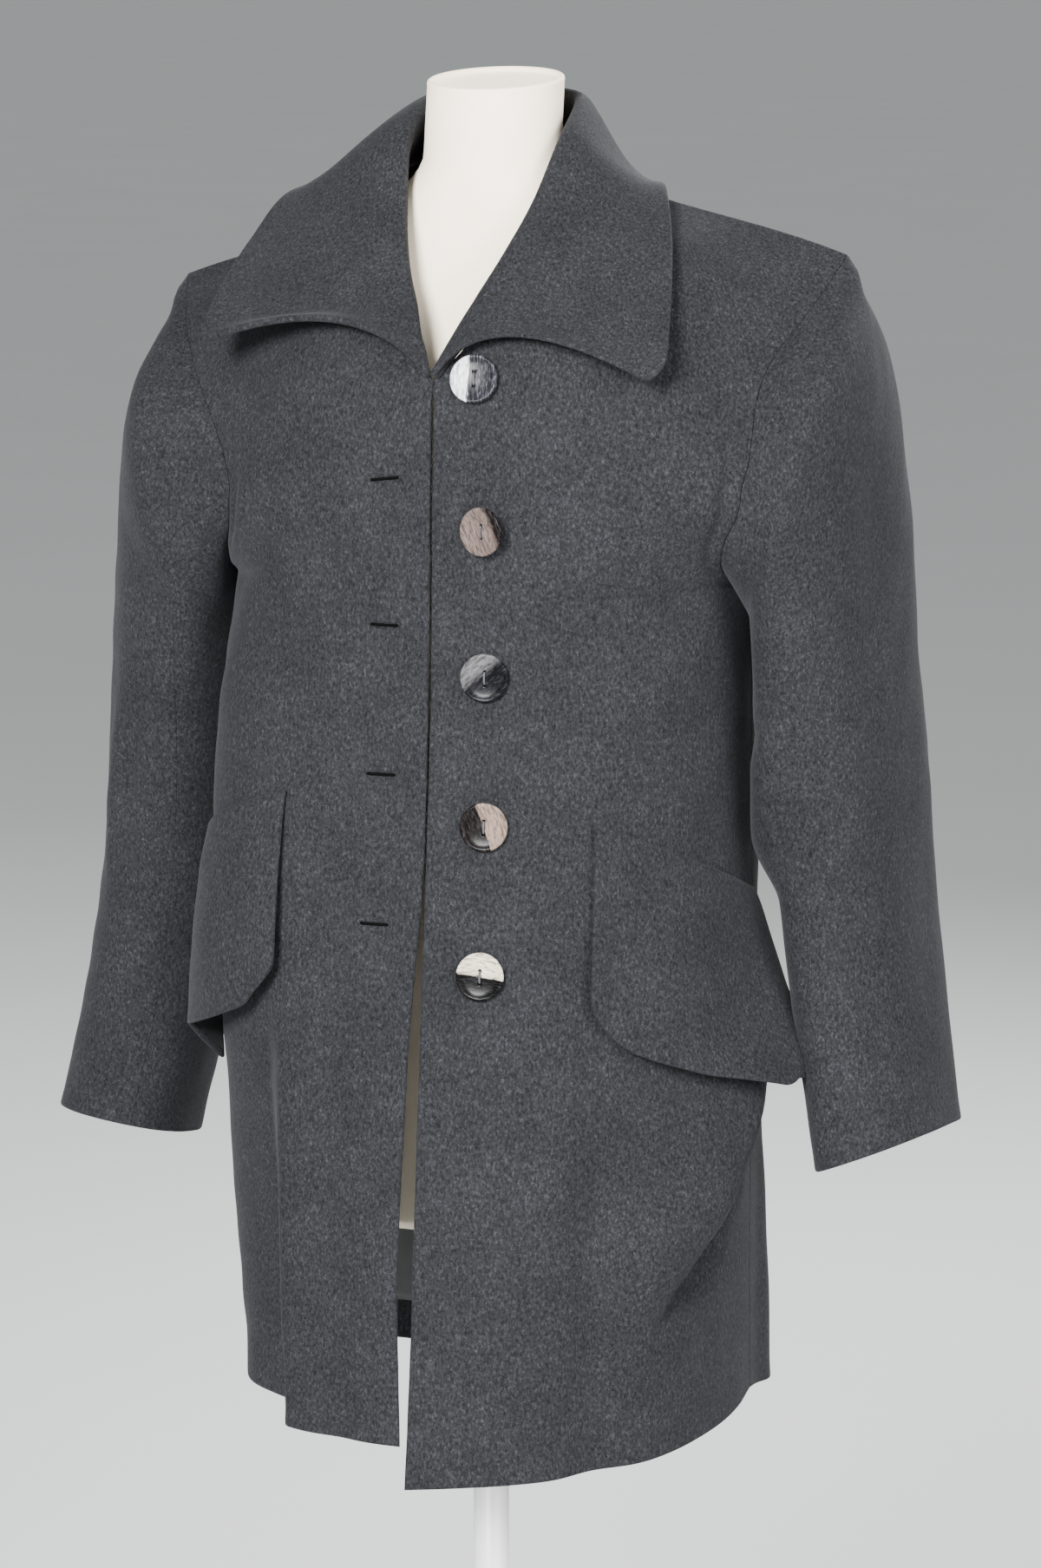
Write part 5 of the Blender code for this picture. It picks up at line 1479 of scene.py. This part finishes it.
class COAT_OT_buttons(bpy.types.Operator):
    """Builds the five shell buttons with their thread"""

    bl_idname = "coat.buttons"
    bl_label = "Buttons"

    def execute(self, context):
        cloth = context.scene.coat_cloth
        low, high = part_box("button_1")
        radius = (high[2] - low[2]) / 2.0
        profile = self.profile(radius, BUTTON_THICK)
        half = BUTTON_HOLE_SPACING / 2.0
        for number, inward in enumerate(BUTTON_FROM_EDGE):
            label = len(BUTTON_FROM_EDGE) - number
            name = "button_" + str(label)
            # Each button's colours include a painted highlight on one side of its face.
            look = SHELL_TONES_AND_HIGHLIGHTS[label - 1]
            height = BUTTON_LOWEST_Z + BUTTON_SPACING * number
            point, normal = surface_at(shapes()["front_left"], height, inward)
            cutters = [self.hole(offset) for offset in (-half, half)]
            item = lathe(name + "_shell", profile, 72, [painted_highlight_shell_finish(label, look)], cutters)
            self.map_face(item, radius)
            turn = Vector(normal).to_track_quat("Z", "X").to_matrix().to_4x4()
            lean = math.radians(look.lean)
            lift = cloth.seam_gap * 2.5 + radius * 0.80 * math.sin(lean)
            place = Matrix.Translation(Vector(point) + Vector(normal) * lift) @ turn
            place = place @ Matrix.Rotation(-lean, 4, "X")
            item.data.transform(place)
            rigid_piece(item, "shell", name)
            arc = [(x, 0.0, BUTTON_THICK * 0.62 + 0.0011 * math.cos(x / BUTTON_HOLE_SPACING * math.pi))
                   for x in np.linspace(-half, half, 15)]
            thread = tube(name + "_thread", arc, THREAD_RADIUS, [finish("dark_thread")])
            thread.data.transform(place)
            rigid_piece(thread, "wool")
        return {"FINISHED"}

    def profile(self, radius, thick):
        """Radius and height pairs of a button: flat back, rounded rim and dished face."""
        rim, rim_height = 0.0013, 0.0015
        points = [(0.0, 0.0), (radius * 0.70, 0.0), (radius * 0.88, thick * 0.10)]
        for i in range(9):
            angle = math.radians(-65.0 + i * 22.0)
            points.append((radius - rim + rim * math.cos(angle), thick * 0.62 + rim_height * math.sin(angle)))
        face = ((0.86, 0.92), (0.80, 0.80), (0.66, 0.70), (0.40, 0.62), (0.0, 0.58))
        return points + [(radius * out, thick * up) for out, up in face]

    def hole(self, offset):
        """Round cutter for one sewing hole."""
        mesh = bmesh.new()
        bmesh.ops.create_cone(mesh, cap_ends=True, segments=20, radius1=BUTTON_HOLE_RADIUS,
                              radius2=BUTTON_HOLE_RADIUS, depth=0.02,
                              matrix=Matrix.Translation((offset, 0.0, 0.002)))
        return finish_mesh("hole", mesh, [])

    def map_face(self, item, radius):
        """Flat map of the button's face, from -1 to 1 across it."""
        layer = item.data.uv_layers.new(name="face")
        for loop in item.data.loops:
            place = item.data.vertices[loop.vertex_index].co
            layer.data[loop.index].uv = (place.x / radius, place.y / radius)


class COAT_OT_form(bpy.types.Operator):
    """Builds the ivory dress form with its capped neck"""

    bl_idname = "coat.form"
    bl_label = "Dress form"

    def execute(self, context):
        sections = [row._replace(z=row.z + SHOULDER_LIFT) if 1.35 < row.z < 1.44 else row
                    for row in FORM_SECTIONS]
        heights = [row.z for row in sections]
        fine = np.concatenate([np.linspace(heights[0], heights[1], 5)[:-1],
                               np.linspace(heights[1], heights[-1], 120)])
        values = {name: track(heights, [getattr(row, name) for row in sections], fine)
                  for name in ("half_width", "front_y", "back_y", "square")}
        angles = np.linspace(0.0, 2.0 * math.pi, 97)
        rings = []
        for i, z in enumerate(fine):
            rings.append(self.ring(values["half_width"][i], values["front_y"][i], values["back_y"][i],
                                   values["square"][i], angles, z))
        last = FORM_SECTIONS[-1]
        middle_y = (last.front_y + last.back_y) / 2.0
        top = self.ring(last.half_width, last.front_y, last.back_y, last.square, angles, 0.0)
        low = rings[-1]
        high = self.cap_ring(top, middle_y, *CAP_RINGS[0])
        for share in (0.25, 0.5, 0.75):
            rings.append(low * (1.0 - share) + high * share)
        for grow, rise in CAP_RINGS:
            rings.append(self.cap_ring(top, middle_y, grow, rise))
        bottom = rings[0]
        centre = bottom.mean(axis=0)
        under = [centre + (bottom - centre) * grow for grow in (0.02, 0.5, 0.9, 0.97)]
        item = wrapped("dress_form_cover", np.array(under + rings), [finish("ivory_cover")])
        rigid_piece(item, "form_cover", "dress_form")
        return {"FINISHED"}

    def ring(self, half_width, front_y, back_y, square, angles, z):
        """Points of one section of the form."""
        x = half_width * np.sign(np.sin(angles)) * np.abs(np.sin(angles)) ** square
        cosine = np.cos(angles)
        y = (front_y + back_y) / 2.0 - (back_y - front_y) / 2.0 * np.sign(cosine) * np.abs(cosine) ** square
        return np.stack([x, y, np.full(len(angles), z)], axis=1)

    def cap_ring(self, top, middle_y, grow, rise):
        """Points of one ring of the tilted neck cap."""
        y = (top[:, 1] - middle_y) * grow
        height = NECK_TOP_Z + rise + y * math.tan(NECK_TILT)
        return np.stack([top[:, 0] * grow, y + middle_y + 0.004, height], axis=1)


class COAT_OT_stand(bpy.types.Operator):
    """Builds the pole and the round base"""

    bl_idname = "coat.stand"
    bl_label = "Stand"

    def execute(self, context):
        looks = [finish("satin_paint")]
        base_low, base_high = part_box("stand_base")
        pole_low, pole_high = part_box("stand_pole")
        radius = (base_high[0] - base_low[0]) / 2.0
        top = base_high[2]
        rim = 0.003
        profile = [(0.0, 0.0), (radius - 0.001, 0.0), (radius, 0.001)]
        for degrees in range(0, 91, 15):
            angle = math.radians(degrees)
            profile.append((radius - rim + rim * math.cos(angle), top - rim + rim * math.sin(angle)))
        base = lathe("stand_base_plate", profile + [(0.0, top)], 128, looks)
        rigid_piece(base, "stand", "stand_base")
        pole = (pole_high[0] - pole_low[0]) / 2.0
        collar = pole_low[2]
        profile = [(0.0, collar), (pole, collar), (pole, pole_high[2]), (0.0, pole_high[2])]
        tube_piece = lathe("stand_pole_tube", profile, 48, looks)
        rigid_piece(tube_piece, "stand", "stand_pole")
        return {"FINISHED"}


class COAT_OT_buttonholes(bpy.types.Operator):
    """Sews the buttonholes of the right front"""

    bl_idname = "coat.buttonholes"
    bl_label = "Buttonholes"

    def execute(self, context):
        for number in range(BUTTONHOLES):
            height = BUTTON_LOWEST_Z + BUTTON_SPACING * number + BUTTONHOLE_RAISE
            self.sew("buttonhole_" + str(len(BUTTON_FROM_EDGE) - number), height)
        return {"FINISHED"}

    def sew(self, name, height):
        """One buttonhole: its stitched edge, and a dull black tube of painted shade along the slit."""
        half = BUTTONHOLE_LENGTH / 2.0
        loop = []
        for i in range(40):
            angle = 2.0 * math.pi * i / 40
            reach = half * np.sign(math.cos(angle)) * abs(math.cos(angle)) ** 0.5
            loop.append(self.over_cloth(height + BUTTONHOLE_HALF_WIDTH * math.sin(angle),
                                        BUTTONHOLE_FROM_EDGE + half + reach, 0.0004))
        edge = tube(name + "_edge", loop, 0.0004, [finish("heathered_wool")], 8, True)
        rigid_piece(edge, "wool")
        ends = (BUTTONHOLE_FROM_EDGE + 0.001, BUTTONHOLE_FROM_EDGE + BUTTONHOLE_LENGTH - 0.001)
        slit = [self.over_cloth(height, across, 0.0006) for across in np.linspace(*ends, 12)]
        # Painted shade: a thin dull black tube stands for the shadow in the open slit.
        gap = tube(name + "_slit", slit, 0.0010, [finish("slit_shade")], 8)
        rigid_piece(gap, "wool")

    def over_cloth(self, height, across, lift):
        """Point a little over the right front, a distance in from its edge."""
        point, normal = surface_at(shapes()["front_right"], height, across)
        return point + normal * lift


class COAT_OT_studio(bpy.types.Operator):
    """Sets up the pale floor, the soft lights and the camera"""

    bl_idname = "coat.studio"
    bl_label = "Studio"

    def execute(self, context):
        studio = context.scene.coat_studio
        mesh = bmesh.new()
        bmesh.ops.create_grid(mesh, x_segments=8, y_segments=8, size=FLOOR_SIZE)
        data = bpy.data.meshes.new("floor")
        mesh.to_mesh(data)
        mesh.free()
        floor = bpy.data.objects.new("floor", data)
        context.scene.collection.objects.link(floor)
        data.materials.append(finish("pale_floor"))
        for (name, place, size), power in zip(LIGHTS, (studio.key, studio.fill, studio.back)):
            self.light(name, place, power, size)
        world = bpy.data.worlds.new("soft_room")
        world.use_nodes = True
        sky = world.node_tree.nodes["Background"]
        sky.inputs["Color"].default_value = ROOM_COLOUR
        sky.inputs["Strength"].default_value = studio.room
        context.scene.world = world
        lens = bpy.data.cameras.new("camera")
        lens.lens = CAMERA_LENS
        lens.sensor_width = CAMERA_WIDTH
        camera = bpy.data.objects.new("camera", lens)
        context.scene.collection.objects.link(camera)
        camera.location = CAMERA_PLACE
        look = Vector(CAMERA_TARGET) - Vector(CAMERA_PLACE)
        camera.rotation_euler = look.to_track_quat("-Z", "Y").to_euler()
        context.scene.camera = camera
        return {"FINISHED"}

    def light(self, name, place, power, size):
        """Square soft light aimed at the middle of the coat."""
        data = bpy.data.lights.new(name, "AREA")
        data.energy = power
        data.size = size
        item = bpy.data.objects.new(name, data)
        bpy.context.scene.collection.objects.link(item)
        item.location = place
        look = Vector(LIGHT_TARGET) - Vector(place)
        item.rotation_euler = look.to_track_quat("-Z", "Y").to_euler()


OPERATORS = (COAT_OT_body, COAT_OT_lining, COAT_OT_sleeves, COAT_OT_collar, COAT_OT_flaps,
             COAT_OT_buttons, COAT_OT_buttonholes, COAT_OT_form, COAT_OT_stand, COAT_OT_studio)


class COAT_PT_panel(bpy.types.Panel):
    """Lists the pieces of the coat"""

    bl_idname = "COAT_PT_panel"
    bl_label = "Wool coat"
    bl_space_type = "VIEW_3D"
    bl_region_type = "UI"
    bl_category = "Coat"

    def draw(self, context):
        for operator in OPERATORS:
            self.layout.operator(operator.bl_idname)


CLASSES = (CoatCloth, CoatColours, CoatStudio) + OPERATORS + (COAT_PT_panel,)


def register():
    """Register every class and the settings."""
    for item in CLASSES:
        bpy.utils.register_class(item)
    bpy.types.Scene.coat_cloth = PointerProperty(type=CoatCloth)
    bpy.types.Scene.coat_colours = PointerProperty(type=CoatColours)
    bpy.types.Scene.coat_studio = PointerProperty(type=CoatStudio)


def unregister():
    """Remove the settings and every class."""
    del bpy.types.Scene.coat_studio
    del bpy.types.Scene.coat_colours
    del bpy.types.Scene.coat_cloth
    for item in reversed(CLASSES):
        bpy.utils.unregister_class(item)


def main():
    """Build everything in order."""
    register()
    bpy.ops.coat.body()
    bpy.ops.coat.lining()
    bpy.ops.coat.sleeves()
    bpy.ops.coat.collar()
    bpy.ops.coat.flaps()
    bpy.ops.coat.buttons()
    bpy.ops.coat.buttonholes()
    bpy.ops.coat.form()
    bpy.ops.coat.stand()
    bpy.ops.coat.studio()


if __name__ == "__main__":
    main()
